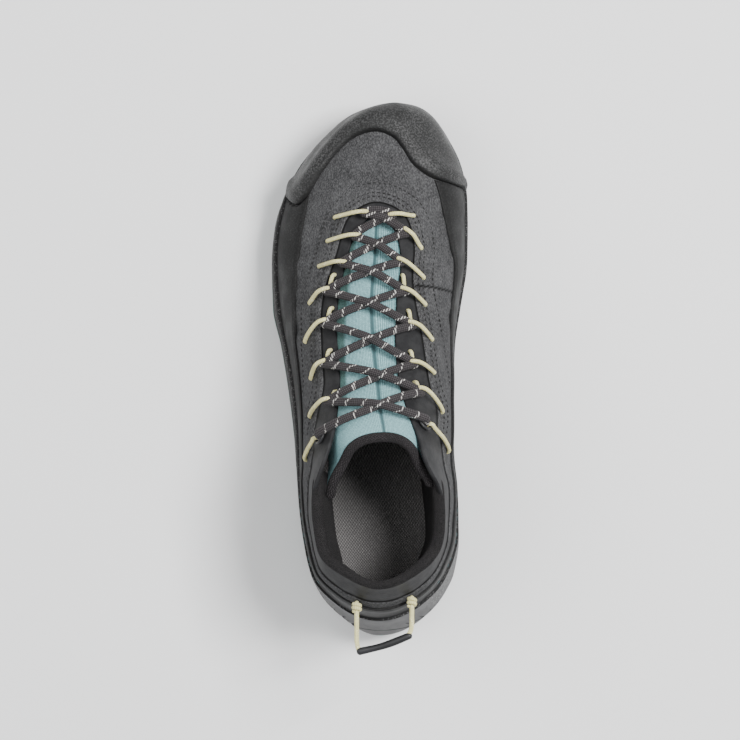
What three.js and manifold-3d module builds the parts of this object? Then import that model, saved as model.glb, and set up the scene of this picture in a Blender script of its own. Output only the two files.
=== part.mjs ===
// A left approach shoe, standing on its sole. Millimetres, +Z up, +Y towards the toe, +X towards
// the inner (medial) side. The origin is on the ground, under the middle of the shoe's own box.
// Every curved piece is worked out from one function of the last, formPoint, at its own growth.

import * as THREE from 'three';
import Module from 'manifold-3d';
import { mergeVertices } from 'three/addons/utils/BufferGeometryUtils.js';
import { ParametricGeometry } from 'three/addons/geometries/ParametricGeometry.js';

const wasm = await Module();
wasm.setup();

// Driving sizes of the shoe
const LENGTH = 270;
const BALL_WIDTH = 100;
const HEEL_STACK = 26;
const INSTEP_HEIGHT = 100;
const COLLAR_HEIGHT = 105;
const HEEL_LEAN = 24;
const HEEL_WALL = 4;
const FIT = 0.3;

// Thicknesses of its layers
const UPPER_WALL = 2;
const SUEDE_STEP = 0.8;
const CAP_THICKNESS = 2;
const RAND_THICKNESS = 1.1;
const TONGUE_THICKNESS = 3;
const PAD_THICKNESS = 3.4;
const INSOLE_THICKNESS = 4.5;
const TEAL_THICKNESS = 2.6;
const LUG_DEPTH = 4.6;
const LUG_LENGTH = 9;
const LUG_WIDTH = 13;
const SIPE_DEPTH = 1.4;
const SIPE_WIDTH = 3;
const SIPE_COUNT = 12;

// Cords
const LACE_DIAMETER = 4.2;
const LOOP_CORD_DIAMETER = 2.3;
const PULL_SLEEVE_DIAMETER = 3.6;

// Growths of the last's surface: the face of each layer, measured from the upper's base face
const SUEDE_FACE = SUEDE_STEP;
const OVERLAY_BACK = SUEDE_FACE + FIT;
const RAND_FACE = OVERLAY_BACK + RAND_THICKNESS;
const CAP_FACE = OVERLAY_BACK + CAP_THICKNESS;
const LINING_FACE = -UPPER_WALL;
const TONGUE_FACE = LINING_FACE - FIT;
const SOLE_WALL_FACE = RAND_FACE + 1.2;
const TOE_WALL = CAP_FACE;

// How finely the surfaces are faceted
const STATIONS = 24;
const ARCH_STEPS = 12;
const PROFILE_STEPS = 38;
const FAR = 400;

// Sections of the last, from heel to toe. along is a share of the last's length; outer, inner and
// centre are places across, outerBelly and innerBelly bulges, all shares of BALL_WIDTH; floor is a
// share of HEEL_STACK and ridge of INSTEP_HEIGHT; the full columns are the roundness of each side
// (2 is an ellipse, more is squarer), and the tongue columns the same for the tongue.
const LAST = [
  { along: 0.0, outer: 0.045, inner: 0.045, centre: 0.045, floor: 1.0, ridge: 1.35,
    outerFull: 2.5, innerFull: 2.5, outerBelly: 0, innerBelly: 0, outerTongue: 2.5, innerTongue: 2.5 },
  { along: 0.008, outer: -0.055, inner: 0.145, centre: 0.045, floor: 1.0, ridge: 1.35,
    outerFull: 3, innerFull: 3, outerBelly: 0.005, innerBelly: 0.005, outerTongue: 2, innerTongue: 2 },
  { along: 0.03, outer: -0.145, inner: 0.235, centre: 0.045, floor: 1.0, ridge: 1.35,
    outerFull: 3, innerFull: 3, outerBelly: 0.015, innerBelly: 0.015, outerTongue: 2, innerTongue: 2 },
  { along: 0.08, outer: -0.25, inner: 0.345, centre: 0.045, floor: 1.0, ridge: 1.35,
    outerFull: 2.9, innerFull: 2.8, outerBelly: 0.02, innerBelly: 0.008, outerTongue: 1.8, innerTongue: 1.9 },
  { along: 0.175, outer: -0.3, inner: 0.408, centre: 0.04, floor: 1.0, ridge: 1.35,
    outerFull: 2.6, innerFull: 2.4, outerBelly: 0.02, innerBelly: 0.012, outerTongue: 1.7, innerTongue: 2 },
  { along: 0.28, outer: -0.328, inner: 0.395, centre: 0.04, floor: 0.98, ridge: 1.34,
    outerFull: 2.6, innerFull: 2.4, outerBelly: 0.01, innerBelly: 0.03, outerTongue: 1.7, innerTongue: 2 },
  { along: 0.325, outer: -0.335, inner: 0.388, centre: 0.055, floor: 0.96, ridge: 1.28,
    outerFull: 2.55, innerFull: 2.45, outerBelly: 0, innerBelly: 0.02, outerTongue: 1.75, innerTongue: 1.9 },
  { along: 0.375, outer: -0.34, inner: 0.382, centre: 0.07, floor: 0.93, ridge: 1.165,
    outerFull: 2.5, innerFull: 2.5, outerBelly: 0, innerBelly: 0.03, outerTongue: 2.2, innerTongue: 2.3 },
  { along: 0.425, outer: -0.352, inner: 0.38, centre: 0.05, floor: 0.88, ridge: 1.045,
    outerFull: 2.3, innerFull: 2.5, outerBelly: 0, innerBelly: 0.035, outerTongue: 2.3, innerTongue: 2.5 },
  { along: 0.475, outer: -0.37, inner: 0.38, centre: 0.035, floor: 0.81, ridge: 0.925,
    outerFull: 2.25, innerFull: 2.7, outerBelly: 0, innerBelly: 0.035, outerTongue: 2.25, innerTongue: 2.7 },
  { along: 0.54, outer: -0.4, inner: 0.392, centre: 0.015, floor: 0.7, ridge: 0.85,
    outerFull: 2.15, innerFull: 2.8, outerBelly: 0, innerBelly: 0.02, outerTongue: 2.15, innerTongue: 2.8 },
  { along: 0.62, outer: -0.442, inner: 0.428, centre: 0.003, floor: 0.57, ridge: 0.75,
    outerFull: 1.9, innerFull: 2.7, outerBelly: 0, innerBelly: 0, outerTongue: 1.9, innerTongue: 2.7 },
  { along: 0.72, outer: -0.462, inner: 0.462, centre: 0.022, floor: 0.53, ridge: 0.655,
    outerFull: 1.8, innerFull: 2.6, outerBelly: 0, innerBelly: 0, outerTongue: 1.8, innerTongue: 2.6 },
  { along: 0.82, outer: -0.415, inner: 0.463, centre: 0.035, floor: 0.6, ridge: 0.59,
    outerFull: 1.85, innerFull: 2.4, outerBelly: 0, innerBelly: 0, outerTongue: 1.85, innerTongue: 2.4 },
  { along: 0.88, outer: -0.338, inner: 0.437, centre: 0.06, floor: 0.67, ridge: 0.54,
    outerFull: 2.2, innerFull: 2.5, outerBelly: 0, innerBelly: 0, outerTongue: 2.2, innerTongue: 2.5 },
  { along: 0.94, outer: -0.21, inner: 0.368, centre: 0.09, floor: 0.74, ridge: 0.49,
    outerFull: 2.5, innerFull: 2.6, outerBelly: 0, innerBelly: 0, outerTongue: 2.5, innerTongue: 2.6 },
  { along: 0.983, outer: -0.065, inner: 0.285, centre: 0.115, floor: 0.79, ridge: 0.46,
    outerFull: 2.6, innerFull: 2.6, outerBelly: 0, innerBelly: 0, outerTongue: 2.6, innerTongue: 2.6 },
  { along: 0.995, outer: 0.02, inner: 0.23, centre: 0.12, floor: 0.81, ridge: 0.43,
    outerFull: 2.6, innerFull: 2.6, outerBelly: 0, innerBelly: 0, outerTongue: 2.6, innerTongue: 2.6 },
  { along: 1.0, outer: 0.125, inner: 0.125, centre: 0.125, floor: 0.82, ridge: 0.39,
    outerFull: 2.6, innerFull: 2.6, outerBelly: 0, innerBelly: 0, outerTongue: 2.6, innerTongue: 2.6 },
];

// Outline of the sole, from heel to toe. along is a share of LENGTH, outer and inner of BALL_WIDTH.
const SOLE = [
  { along: 0.0, outer: 0.05, inner: 0.05 },
  { along: 0.026, outer: -0.109, inner: 0.247 },
  { along: 0.0715, outer: -0.236, inner: 0.369 },
  { along: 0.117, outer: -0.303, inner: 0.43 },
  { along: 0.184, outer: -0.343, inner: 0.455 },
  { along: 0.275, outer: -0.369, inner: 0.438 },
  { along: 0.365, outer: -0.384, inner: 0.412 },
  { along: 0.456, outer: -0.414, inner: 0.412 },
  { along: 0.546, outer: -0.455, inner: 0.42 },
  { along: 0.614, outer: -0.496, inner: 0.455 },
  { along: 0.7, outer: -0.502, inner: 0.496 },
  { along: 0.77, outer: -0.485, inner: 0.5 },
  { along: 0.84, outer: -0.42, inner: 0.491 },
  { along: 0.885, outer: -0.353, inner: 0.465 },
  { along: 0.931, outer: -0.24, inner: 0.404 },
  { along: 0.976, outer: -0.114, inner: 0.313 },
  { along: 0.9945, outer: 0.018, inner: 0.242 },
  { along: 1.0, outer: 0.125, inner: 0.125 },
];

// Lines on the side of the sole, from heel to toe. along is a share of LENGTH, and the heights are
// shares of HEEL_STACK: web is the underside between the lugs, teal the middle of the teal layer,
// layer its thickness as a share of TEAL_THICKNESS, wedge the top of the grey heel wedge, and band
// the top of the dark midsole.
const SIDE = [
  { along: 0.0, web: 0.66, teal: 0.77, layer: 0.8, wedge: 1.72, band: 1.7 },
  { along: 0.024, web: 0.42, teal: 0.55, layer: 0.9, wedge: 1.72, band: 1.7 },
  { along: 0.0556, web: 0.24, teal: 0.38, layer: 1, wedge: 1.7, band: 1.68 },
  { along: 0.093, web: 0.175, teal: 0.27, layer: 1, wedge: 1.66, band: 1.62 },
  { along: 0.14, web: 0.175, teal: 0.255, layer: 1, wedge: 1.57, band: 1.56 },
  { along: 0.174, web: 0.175, teal: 0.255, layer: 1, wedge: 1.44, band: 1.63 },
  { along: 0.215, web: 0.175, teal: 0.255, layer: 1, wedge: 1.23, band: 1.67 },
  { along: 0.274, web: 0.175, teal: 0.265, layer: 1, wedge: 0.94, band: 1.68 },
  { along: 0.309, web: 0.2, teal: 0.45, layer: 0.8, wedge: 0.83, band: 1.62 },
  { along: 0.339, web: 0.3, teal: 0.69, layer: 0.7, wedge: 0.74, band: 1.57 },
  { along: 0.363, web: 0.39, teal: 0.755, layer: 0.55, wedge: 0.66, band: 1.52 },
  { along: 0.385, web: 0.39, teal: 0.742, layer: 0.55, wedge: 0.6, band: 1.48 },
  { along: 0.45, web: 0.33, teal: 0.607, layer: 0.55, wedge: 0.5, band: 1.38 },
  { along: 0.51, web: 0.22, teal: 0.488, layer: 0.6, wedge: 0.4, band: 1.24 },
  { along: 0.555, web: 0.175, teal: 0.39, layer: 0.75, wedge: 0.3, band: 1.12 },
  { along: 0.6, web: 0.17, teal: 0.304, layer: 0.95, wedge: 0.2, band: 1.0 },
  { along: 0.65, web: 0.17, teal: 0.285, layer: 1, wedge: 0.2, band: 0.91 },
  { along: 0.7, web: 0.17, teal: 0.292, layer: 1, wedge: 0.2, band: 0.89 },
  { along: 0.77, web: 0.15, teal: 0.373, layer: 1, wedge: 0.2, band: 0.875 },
  { along: 0.82, web: 0.04, teal: 0.45, layer: 0.95, wedge: 0.2, band: 0.87 },
  { along: 0.883, web: 0.15, teal: 0.546, layer: 0.9, wedge: 0.3, band: 0.83 },
  { along: 0.93, web: 0.31, teal: 0.62, layer: 0.9, wedge: 0.3, band: 0.85 },
  { along: 0.976, web: 0.51, teal: 0.68, layer: 0.9, wedge: 0.3, band: 0.9 },
  { along: 1.0, web: 0.65, teal: 0.72, layer: 0.9, wedge: 0.3, band: 0.96 },
];

// Lines on the side of the upper. along is a share of LENGTH, rand and innerRand are the top of the
// dark rand on the outer and inner side as shares of INSTEP_HEIGHT, suede the top of the suede behind
// the instep and rim the collar's edge, both shares of COLLAR_HEIGHT.
const SIDE_OF_UPPER = [
  { along: 0.0, rand: 0.81, innerRand: 0.81, suede: 0.86, rim: 1.0 },
  { along: 0.074, rand: 0.81, innerRand: 0.81, suede: 0.85, rim: 1.0 },
  { along: 0.115, rand: 0.775, innerRand: 0.775, suede: 0.82, rim: 0.985 },
  { along: 0.145, rand: 0.755, innerRand: 0.755, suede: 0.8, rim: 0.94 },
  { along: 0.175, rand: 0.735, innerRand: 0.735, suede: 0.785, rim: 0.89 },
  { along: 0.215, rand: 0.705, innerRand: 0.705, suede: 0.78, rim: 0.882 },
  { along: 0.28, rand: 0.67, innerRand: 0.67, suede: 0.81, rim: 0.92 },
  { along: 0.322, rand: 0.64, innerRand: 0.64, suede: 0.84, rim: 0.96 },
  { along: 0.367, rand: 0.615, innerRand: 0.615, suede: 0.855, rim: 1.015 },
  { along: 0.4, rand: 0.585, innerRand: 0.585, suede: 0.865, rim: 1.06 },
  { along: 0.47, rand: 0.54, innerRand: 0.54, suede: 0.88, rim: 1.1 },
  { along: 0.55, rand: 0.5, innerRand: 0.5, suede: 0.9, rim: 1.1 },
  { along: 0.61, rand: 0.478, innerRand: 0.478, suede: 0.9, rim: 1.1 },
  { along: 0.672, rand: 0.45, innerRand: 0.45, suede: 0.9, rim: 1.1 },
  { along: 0.755, rand: 0.437, innerRand: 0.484, suede: 0.9, rim: 1.1 },
  { along: 0.833, rand: 0.417, innerRand: 0.49, suede: 0.9, rim: 1.1 },
  { along: 1.0, rand: 0.4, innerRand: 0.46, suede: 0.9, rim: 1.1 },
];

// Forward lean of the heel with height: height is a share of COLLAR_HEIGHT, lean of HEEL_LEAN.
const LEAN = [
  { height: 0.0, lean: 0 },
  { height: 0.19, lean: 0 },
  { height: 0.352, lean: 0.25 },
  { height: 0.533, lean: 0.44 },
  { height: 0.76, lean: 0.56 },
  { height: 0.857, lean: 0.71 },
  { height: 1.0, lean: 1.0 },
  { height: 1.35, lean: 1.35 },
];

/** A smooth curve through one column of a table, which never overshoots its rows. */
function curveThrough(places, values) {
  const count = places.length;
  const slopes = [];
  for (let i = 0; i < count - 1; i += 1) {
    slopes.push((values[i + 1] - values[i]) / (places[i + 1] - places[i]));
  }
  const tangents = values.map((value, i) => {
    if (i === 0) return slopes[0];
    if (i === count - 1) return slopes[count - 2];
    if (slopes[i - 1] * slopes[i] <= 0) return 0;
    return (2 * slopes[i - 1] * slopes[i]) / (slopes[i - 1] + slopes[i]);
  });
  return (place) => {
    const at = THREE.MathUtils.clamp(place, places[0], places[count - 1]);
    let i = 0;
    while (i < count - 2 && at > places[i + 1]) i += 1;
    const span = places[i + 1] - places[i];
    const t = (at - places[i]) / span;
    const rise = t * t * (3 - 2 * t);
    const early = t * (1 - t) * (1 - t) * span;
    const late = t * t * (t - 1) * span;
    return values[i] + (values[i + 1] - values[i]) * rise + tangents[i] * early + tangents[i + 1] * late;
  };
}

/** The station of a share of a length: even steps in it crowd together at heel and toe. */
function stationOf(along) {
  return Math.acos(THREE.MathUtils.clamp(1 - 2 * along, -1, 1)) / Math.PI;
}

/** The share of the length of a station. */
function alongOf(station) {
  return 0.5 - 0.5 * Math.cos(Math.PI * station);
}

/** One smooth curve for each column of a table, all read at a station. */
function columnsOf(rows, scales) {
  const stations = rows.map((row) => stationOf(row.along));
  return Object.fromEntries(
    Object.entries(scales).map(([name, scale]) => [
      name,
      curveThrough(stations, rows.map((row) => row[name] * scale)),
    ]),
  );
}

const last = columnsOf(LAST, {
  outer: BALL_WIDTH, inner: BALL_WIDTH, centre: BALL_WIDTH, floor: HEEL_STACK, ridge: INSTEP_HEIGHT,
  outerFull: 1, innerFull: 1, outerBelly: BALL_WIDTH, innerBelly: BALL_WIDTH,
  outerTongue: 1, innerTongue: 1,
});
const sole = columnsOf(SOLE, { outer: BALL_WIDTH, inner: BALL_WIDTH });
const side = columnsOf(SIDE, {
  web: HEEL_STACK, teal: HEEL_STACK, layer: TEAL_THICKNESS, wedge: HEEL_STACK, band: HEEL_STACK,
});
const sideOfUpper = columnsOf(SIDE_OF_UPPER, {
  rand: INSTEP_HEIGHT, innerRand: INSTEP_HEIGHT, suede: COLLAR_HEIGHT, rim: COLLAR_HEIGHT,
});
const leanAt = curveThrough(
  LEAN.map((row) => row.height * COLLAR_HEIGHT),
  LEAN.map((row) => row.lean * HEEL_LEAN),
);

const HEEL_Y = -LENGTH / 2;
const LAST_HEEL_Y = HEEL_Y + HEEL_WALL;
const LAST_LENGTH = LENGTH - HEEL_WALL - TOE_WALL;
const LEAN_END = 0.32;
const STATION_STEP = 1e-4;

/** The station of the sole at a place along the shoe. */
function soleStation(y) {
  return stationOf((y - HEEL_Y) / LENGTH);
}

/** How much of the heel's lean a station takes. */
function leanShare(station) {
  return 1 - THREE.MathUtils.smoothstep(alongOf(station), 0, LEAN_END);
}

/** A point of an outline seen from above, moved out square to it by a growth. */
function outlinePoint(columns, sideName, station, start, length, growth) {
  const before = Math.max(station - STATION_STEP, 0);
  const after = Math.min(station + STATION_STEP, 1);
  const across = (columns[sideName](after) - columns[sideName](before)) / (after - before);
  const forward = length * 0.5 * Math.PI * Math.sin(Math.PI * station);
  const hand = sideName === 'outer' ? -1 : 1;
  const size = Math.hypot(across, forward);
  return new THREE.Vector2(
    columns[sideName](station) + (hand * forward * growth) / size,
    start + length * alongOf(station) - (hand * across * growth) / size,
  );
}

/** A point of the last's surface on one side, at a share of its height, for a growth. */
function formPoint(station, sideName, rise, growth, fullness = 'Full') {
  const outline = outlinePoint(last, sideName, station, LAST_HEEL_Y, LAST_LENGTH, growth);
  const otherSide = sideName === 'outer' ? 'inner' : 'outer';
  const opposite = outlinePoint(last, otherSide, station, LAST_HEEL_Y, LAST_LENGTH, growth);
  const y = LAST_HEEL_Y + LAST_LENGTH * alongOf(station);
  const ridge = new THREE.Vector2(last.centre(station), y + (outline.y + opposite.y - 2 * y) / 2);
  const full = last[sideName + fullness](station);
  const reach = Math.pow(Math.max(0, 1 - Math.pow(rise, full)), 1 / full);
  const point = ridge.lerp(outline, reach);
  const hand = sideName === 'outer' ? -1 : 1;
  point.x += hand * last[sideName + 'Belly'](station) * Math.sin(Math.PI * rise);
  const floor = last.floor(station);
  const z = floor + (last.ridge(station) + growth - floor) * rise;
  return new THREE.Vector3(point.x, point.y + leanShare(station) * leanAt(z), z);
}

/** A point of the last's surface on one side, at a height. */
function formPointAt(station, sideName, z, growth) {
  const floor = last.floor(station);
  const rise = THREE.MathUtils.clamp((z - floor) / (last.ridge(station) + growth - floor), 0, 1);
  return formPoint(station, sideName, rise, growth).setZ(z);
}

/** The height of the last's surface above a place seen from above, on its upper half. */
function heightOver(x, y, growth) {
  const station = stationOf((y - LAST_HEEL_Y) / LAST_LENGTH);
  const centre = last.centre(station);
  const sideName = x < centre ? 'outer' : 'inner';
  let [low, high] = [0.4, 1];
  for (let i = 0; i < 24; i += 1) {
    const middle = (low + high) / 2;
    const reach = Math.abs(formPoint(station, sideName, middle, growth).x - centre);
    if (reach > Math.abs(x - centre)) low = middle;
    else high = middle;
  }
  return formPoint(station, sideName, low, growth).z;
}

/** A point of the sole's side wall at a height: it stands on the outline and leans with the heel. */
function solePointAt(station, sideName, z, growth) {
  const point = outlinePoint(sole, sideName, station, HEEL_Y, LENGTH, growth);
  return new THREE.Vector3(point.x, point.y + leanShare(station) * leanAt(z), z);
}

/** A closed manifold solid from a geometry whose faces point outwards. */
function solidOf(geometry) {
  const bare = geometry.index ? geometry.toNonIndexed() : geometry.clone();
  bare.deleteAttribute('normal');
  bare.deleteAttribute('uv');
  const merged = mergeVertices(bare, 1e-4);
  const corners = merged.index.array;
  const kept = [];
  for (let i = 0; i < corners.length; i += 3) {
    const [a, b, c] = [corners[i], corners[i + 1], corners[i + 2]];
    if (a !== b && b !== c && a !== c) kept.push(a, b, c);
  }
  return new wasm.Manifold(
    new wasm.Mesh({
      numProp: 3,
      vertProperties: Float32Array.from(merged.attributes.position.array),
      triVerts: Uint32Array.from(kept),
    }),
  );
}

/** A three.js geometry from a solid. */
function geometryOf(solid) {
  const mesh = solid.getMesh();
  const geometry = new THREE.BufferGeometry();
  geometry.setAttribute('position', new THREE.BufferAttribute(mesh.vertProperties, 3));
  geometry.setIndex(new THREE.BufferAttribute(mesh.triVerts, 1));
  const flat = geometry.toNonIndexed();
  flat.computeVertexNormals();
  return flat;
}

/** A closed solid swept along rows of one ring of points each: ringAt(share) gives a ring. */
function sweep(ringAt, rows) {
  const rings = Array.from({ length: rows + 1 }, (_, i) => ringAt(i / rows));
  const middles = [rings[0], rings[rows]].map((ring) =>
    ring.reduce((sum, point) => sum.add(point), new THREE.Vector3()).divideScalar(ring.length),
  );
  const all = [rings[0].map(() => middles[0]), ...rings, rings[rows].map(() => middles[1])];
  const around = rings[0].length;
  const lastRow = all.length - 1;
  const place = (u, v, target) => {
    const row = all[Math.round(v * lastRow)];
    target.copy(row[Math.round(u * around) % around]);
  };
  return solidOf(new ParametricGeometry(place, around, lastRow));
}

/** The whole last as a closed solid for a growth, its walls carried down below its floor. */
function lastSolid(growth, drop, fullness = 'Full') {
  return sweep((share) => {
    const ring = [];
    for (let i = 0; i <= ARCH_STEPS; i += 1) {
      const turn = (Math.PI * i) / ARCH_STEPS;
      const sideName = 2 * i <= ARCH_STEPS ? 'outer' : 'inner';
      const full = last[sideName + fullness](share);
      const rise = Math.pow(Math.sin(turn), 2 / full);
      ring.push(formPoint(share, sideName, i === 0 || i === ARCH_STEPS ? 0 : rise, growth, fullness));
    }
    if (drop > 0) {
      const low = new THREE.Vector3(0, 0, -drop);
      ring.unshift(ring[0].clone().add(low));
      ring.push(ring[ring.length - 1].clone().add(low));
    }
    return ring;
  }, STATIONS);
}

/** A prism of an outline seen from above, between two heights. */
function planPrism(points, low, high) {
  const shape = new THREE.Shape(points.map(([x, y]) => new THREE.Vector2(x, y)));
  const geometry = new THREE.ExtrudeGeometry(shape, { depth: high - low, bevelEnabled: false, steps: 1 });
  geometry.translate(0, 0, low);
  return solidOf(geometry);
}

/** A prism of an outline seen from the side, as pairs of y and z, right across the shoe. */
function sidePrism(points) {
  const shape = new THREE.Shape(points.map(([y, z]) => new THREE.Vector2(y, z)));
  const geometry = new THREE.ExtrudeGeometry(shape, { depth: BALL_WIDTH * 2, bevelEnabled: false });
  geometry.translate(0, 0, -BALL_WIDTH);
  geometry.rotateX(Math.PI / 2);
  geometry.rotateZ(Math.PI / 2);
  return solidOf(geometry);
}

/** Pairs of y and z along a height line, between the stations nearest to two places. */
function heightLine(heightAt, from, to) {
  const first = Math.round(soleStation(from) * PROFILE_STEPS);
  const final = Math.round(soleStation(to) * PROFILE_STEPS);
  return Array.from({ length: final - first + 1 }, (_, i) => {
    const station = (first + i) / PROFILE_STEPS;
    return [HEEL_Y + LENGTH * alongOf(station), heightAt(station)];
  });
}

/** The space between two height lines, across the whole shoe. */
function bandBetween(lowAt, highAt, from = HEEL_Y, to = -HEEL_Y) {
  const low = heightLine(lowAt, from, to);
  const high = heightLine(highAt, from, to);
  const stretch = (line) => [
    from === HEEL_Y ? [line[0][0] - FAR / 10, line[0][1]] : line[0],
    ...line.slice(1, -1),
    to === -HEEL_Y ? [line[line.length - 1][0] + FAR / 10, line[line.length - 1][1]] : line[line.length - 1],
  ];
  return sidePrism([...stretch(low), ...stretch(high).reverse()]);
}

/** A smooth closed outline through chosen points. */
function smoothOutline(points, steps) {
  const curve = new THREE.SplineCurve(points.map(([x, y]) => new THREE.Vector2(x, y)));
  return curve.getPoints(steps).map((point) => [point.x, point.y]);
}

/** A round cord through chosen points. */
function cordSolid(points, diameter, sides, steps) {
  const circle = new THREE.Shape(
    Array.from({ length: sides }, (_, i) => {
      const turn = (2 * Math.PI * i) / sides;
      return new THREE.Vector2((Math.cos(turn) * diameter) / 2, (Math.sin(turn) * diameter) / 2);
    }),
  );
  const path = new THREE.CatmullRomCurve3(points, false, 'centripetal');
  return solidOf(new THREE.ExtrudeGeometry(circle, { steps, bevelEnabled: false, extrudePath: path }));
}

const shoe = new THREE.Group();

/** Adds one named piece of the shoe. */
function addPiece(name, solid, color, roughness) {
  const mesh = new THREE.Mesh(
    geometryOf(solid),
    new THREE.MeshStandardMaterial({ color, roughness, metalness: 0 }),
  );
  mesh.name = name;
  shoe.add(mesh);
}

// Outlines seen from above, as places along and across the shoe: y as a share of LENGTH from its
// middle, x as a share of BALL_WIDTH.
const THROAT_EDGE = [
  { across: -0.22, along: -0.3 }, { across: -0.23, along: -0.18 }, { across: -0.19, along: -0.122 },
  { across: -0.17, along: -0.07 }, { across: -0.165, along: 0.03 }, { across: -0.17, along: 0.11 },
  { across: -0.135, along: 0.185 }, { across: -0.075, along: 0.255 }, { across: 0.025, along: 0.282 },
  { across: 0.125, along: 0.26 }, { across: 0.155, along: 0.21 }, { across: 0.135, along: 0.13 },
  { across: 0.13, along: 0.03 }, { across: 0.155, along: -0.035 }, { across: 0.2, along: -0.08 },
  { across: 0.25, along: -0.13 }, { across: 0.28, along: -0.18 }, { across: 0.28, along: -0.3 },
];
const SUEDE_EDGE = [
  { across: -0.24, along: -0.3 }, { across: -0.28, along: -0.13 }, { across: -0.26, along: -0.08 },
  { across: -0.232, along: -0.03 }, { across: -0.242, along: 0.04 }, { across: -0.24, along: 0.125 },
  { across: -0.17, along: 0.215 }, { across: -0.105, along: 0.285 }, { across: 0.025, along: 0.312 },
  { across: 0.17, along: 0.29 }, { across: 0.222, along: 0.235 }, { across: 0.216, along: 0.16 },
  { across: 0.262, along: 0.06 }, { across: 0.3, along: -0.03 }, { across: 0.335, along: -0.075 },
  { across: 0.31, along: -0.16 }, { across: 0.25, along: -0.3 },
];
const TONGUE_EDGE = [
  { across: -0.205, along: -0.225 }, { across: -0.215, along: -0.17 }, { across: -0.27, along: -0.09 },
  { across: -0.25, along: 0.03 }, { across: -0.25, along: 0.12 }, { across: -0.2, along: 0.23 },
  { across: -0.1, along: 0.32 }, { across: 0.03, along: 0.335 }, { across: 0.16, along: 0.32 },
  { across: 0.235, along: 0.23 }, { across: 0.225, along: 0.12 }, { across: 0.25, along: 0.0 },
  { across: 0.285, along: -0.1 }, { across: 0.27, along: -0.16 }, { across: 0.26, along: -0.215 },
];
const CAP_EDGE = [
  { across: -0.62, along: 0.335 }, { across: -0.42, along: 0.323 }, { across: -0.36, along: 0.306 },
  { across: -0.315, along: 0.318 }, { across: -0.243, along: 0.361 }, { across: -0.157, along: 0.403 },
  { across: -0.07, along: 0.431 }, { across: 0.03, along: 0.442 }, { across: 0.115, along: 0.43 },
  { across: 0.155, along: 0.412 },
  { across: 0.21, along: 0.38 }, { across: 0.29, along: 0.358 }, { across: 0.35, along: 0.35 },
  { across: 0.62, along: 0.33 },
];

/** The chosen points of an outline in real sizes. */
function realPlaces(rows) {
  return rows.map((row) => [row.across * BALL_WIDTH, row.along * LENGTH]);
}

const THROAT_LOW = 0.42 * INSTEP_HEIGHT;
const TONGUE_LOW = 0.3 * INSTEP_HEIGHT;
const throatCut = planPrism(smoothOutline(realPlaces(THROAT_EDGE), 44), THROAT_LOW, FAR);
const suedeCut = planPrism(smoothOutline(realPlaces(SUEDE_EDGE), 40), THROAT_LOW, FAR);
const tongueShape = planPrism(smoothOutline(realPlaces(TONGUE_EDGE), 32), TONGUE_LOW, FAR);

/** Everything ahead of the toe cap's back edge, that edge set back by a gap. */
function aheadOfCapEdge(gap) {
  const edge = smoothOutline(realPlaces(CAP_EDGE), 26).map(([x, y]) => [x, y - gap]);
  const [first, final] = [edge[0], edge[edge.length - 1]];
  return planPrism([...edge, [final[0], LENGTH], [first[0], LENGTH]], -FAR / 10, FAR);
}

// Upper: one hollow wall, raised by a step where it is suede, open at the collar, the throat and
// underneath.
const COLLAR_FRONT = -0.104 * LENGTH;
const SUEDE_COLLAR_FRONT = -0.06 * LENGTH;
const aboveRim = sidePrism([
  ...heightLine(sideOfUpper.rim, HEEL_Y, COLLAR_FRONT),
  [COLLAR_FRONT, FAR],
  [HEEL_Y - FAR / 10, FAR],
  [HEEL_Y - FAR / 10, sideOfUpper.rim(0)],
]);
const aboveSuede = sidePrism([
  ...heightLine(sideOfUpper.suede, HEEL_Y, SUEDE_COLLAR_FRONT),
  [SUEDE_COLLAR_FRONT, FAR],
  [HEEL_Y - FAR / 10, FAR],
  [HEEL_Y - FAR / 10, sideOfUpper.suede(0)],
]);
const baseFace = lastSolid(0, 0);
const suedeFace = lastSolid(SUEDE_FACE, 0).subtract(suedeCut).subtract(aboveSuede);
const lining = lastSolid(LINING_FACE, HEEL_STACK);
const seatFloor = bandBetween(
  () => -FAR / 10,
  (station) => last.floor(station) + FIT,
);
const upper = baseFace
  .add(suedeFace)
  .subtract(lining)
  .subtract(throatCut)
  .subtract(aboveRim)
  .subtract(seatFloor);
addPiece('upper', upper, 0x5c5c60, 0.9);

// Tongue: a thin padded shell on its own, rounder form inside the throat, its top edge slanted
const TONGUE_TOP = 1.15 * INSTEP_HEIGHT;
const TONGUE_TIP = -0.119 * LENGTH;
const TONGUE_SLANT = 0.72;
const tongueTop = sidePrism([
  [LENGTH * 0.1, TONGUE_TOP + (LENGTH * 0.1 - TONGUE_TIP) * TONGUE_SLANT],
  [LENGTH * 0.1, FAR],
  [-LENGTH, FAR],
  [-LENGTH, TONGUE_TOP + (-LENGTH - TONGUE_TIP) * TONGUE_SLANT],
]);
const tongue = lastSolid(TONGUE_FACE, 0, 'Tongue')
  .subtract(lastSolid(TONGUE_FACE - TONGUE_THICKNESS, HEEL_STACK, 'Tongue'))
  .intersect(tongueShape)
  .subtract(tongueTop);
addPiece('tongue', tongue, 0x8fbec0, 0.85);

// Sole: one body with the shoe's outline, whose wall runs up onto the rand, cut into its layers
const soleTopAt = (station) => Math.max(side.band(station), side.wedge(station));
const tealLowAt = (station) => side.teal(station) - side.layer(station) / 2;
const tealHighAt = (station) => side.teal(station) + side.layer(station) / 2;
const SOLE_LEVELS = [0, 0.35, 0.7, 1];
const WALL_CURVE = 1.4;
const UNDERCUT = 1.2;
const WALL_TOP_OVER = 2;

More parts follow.
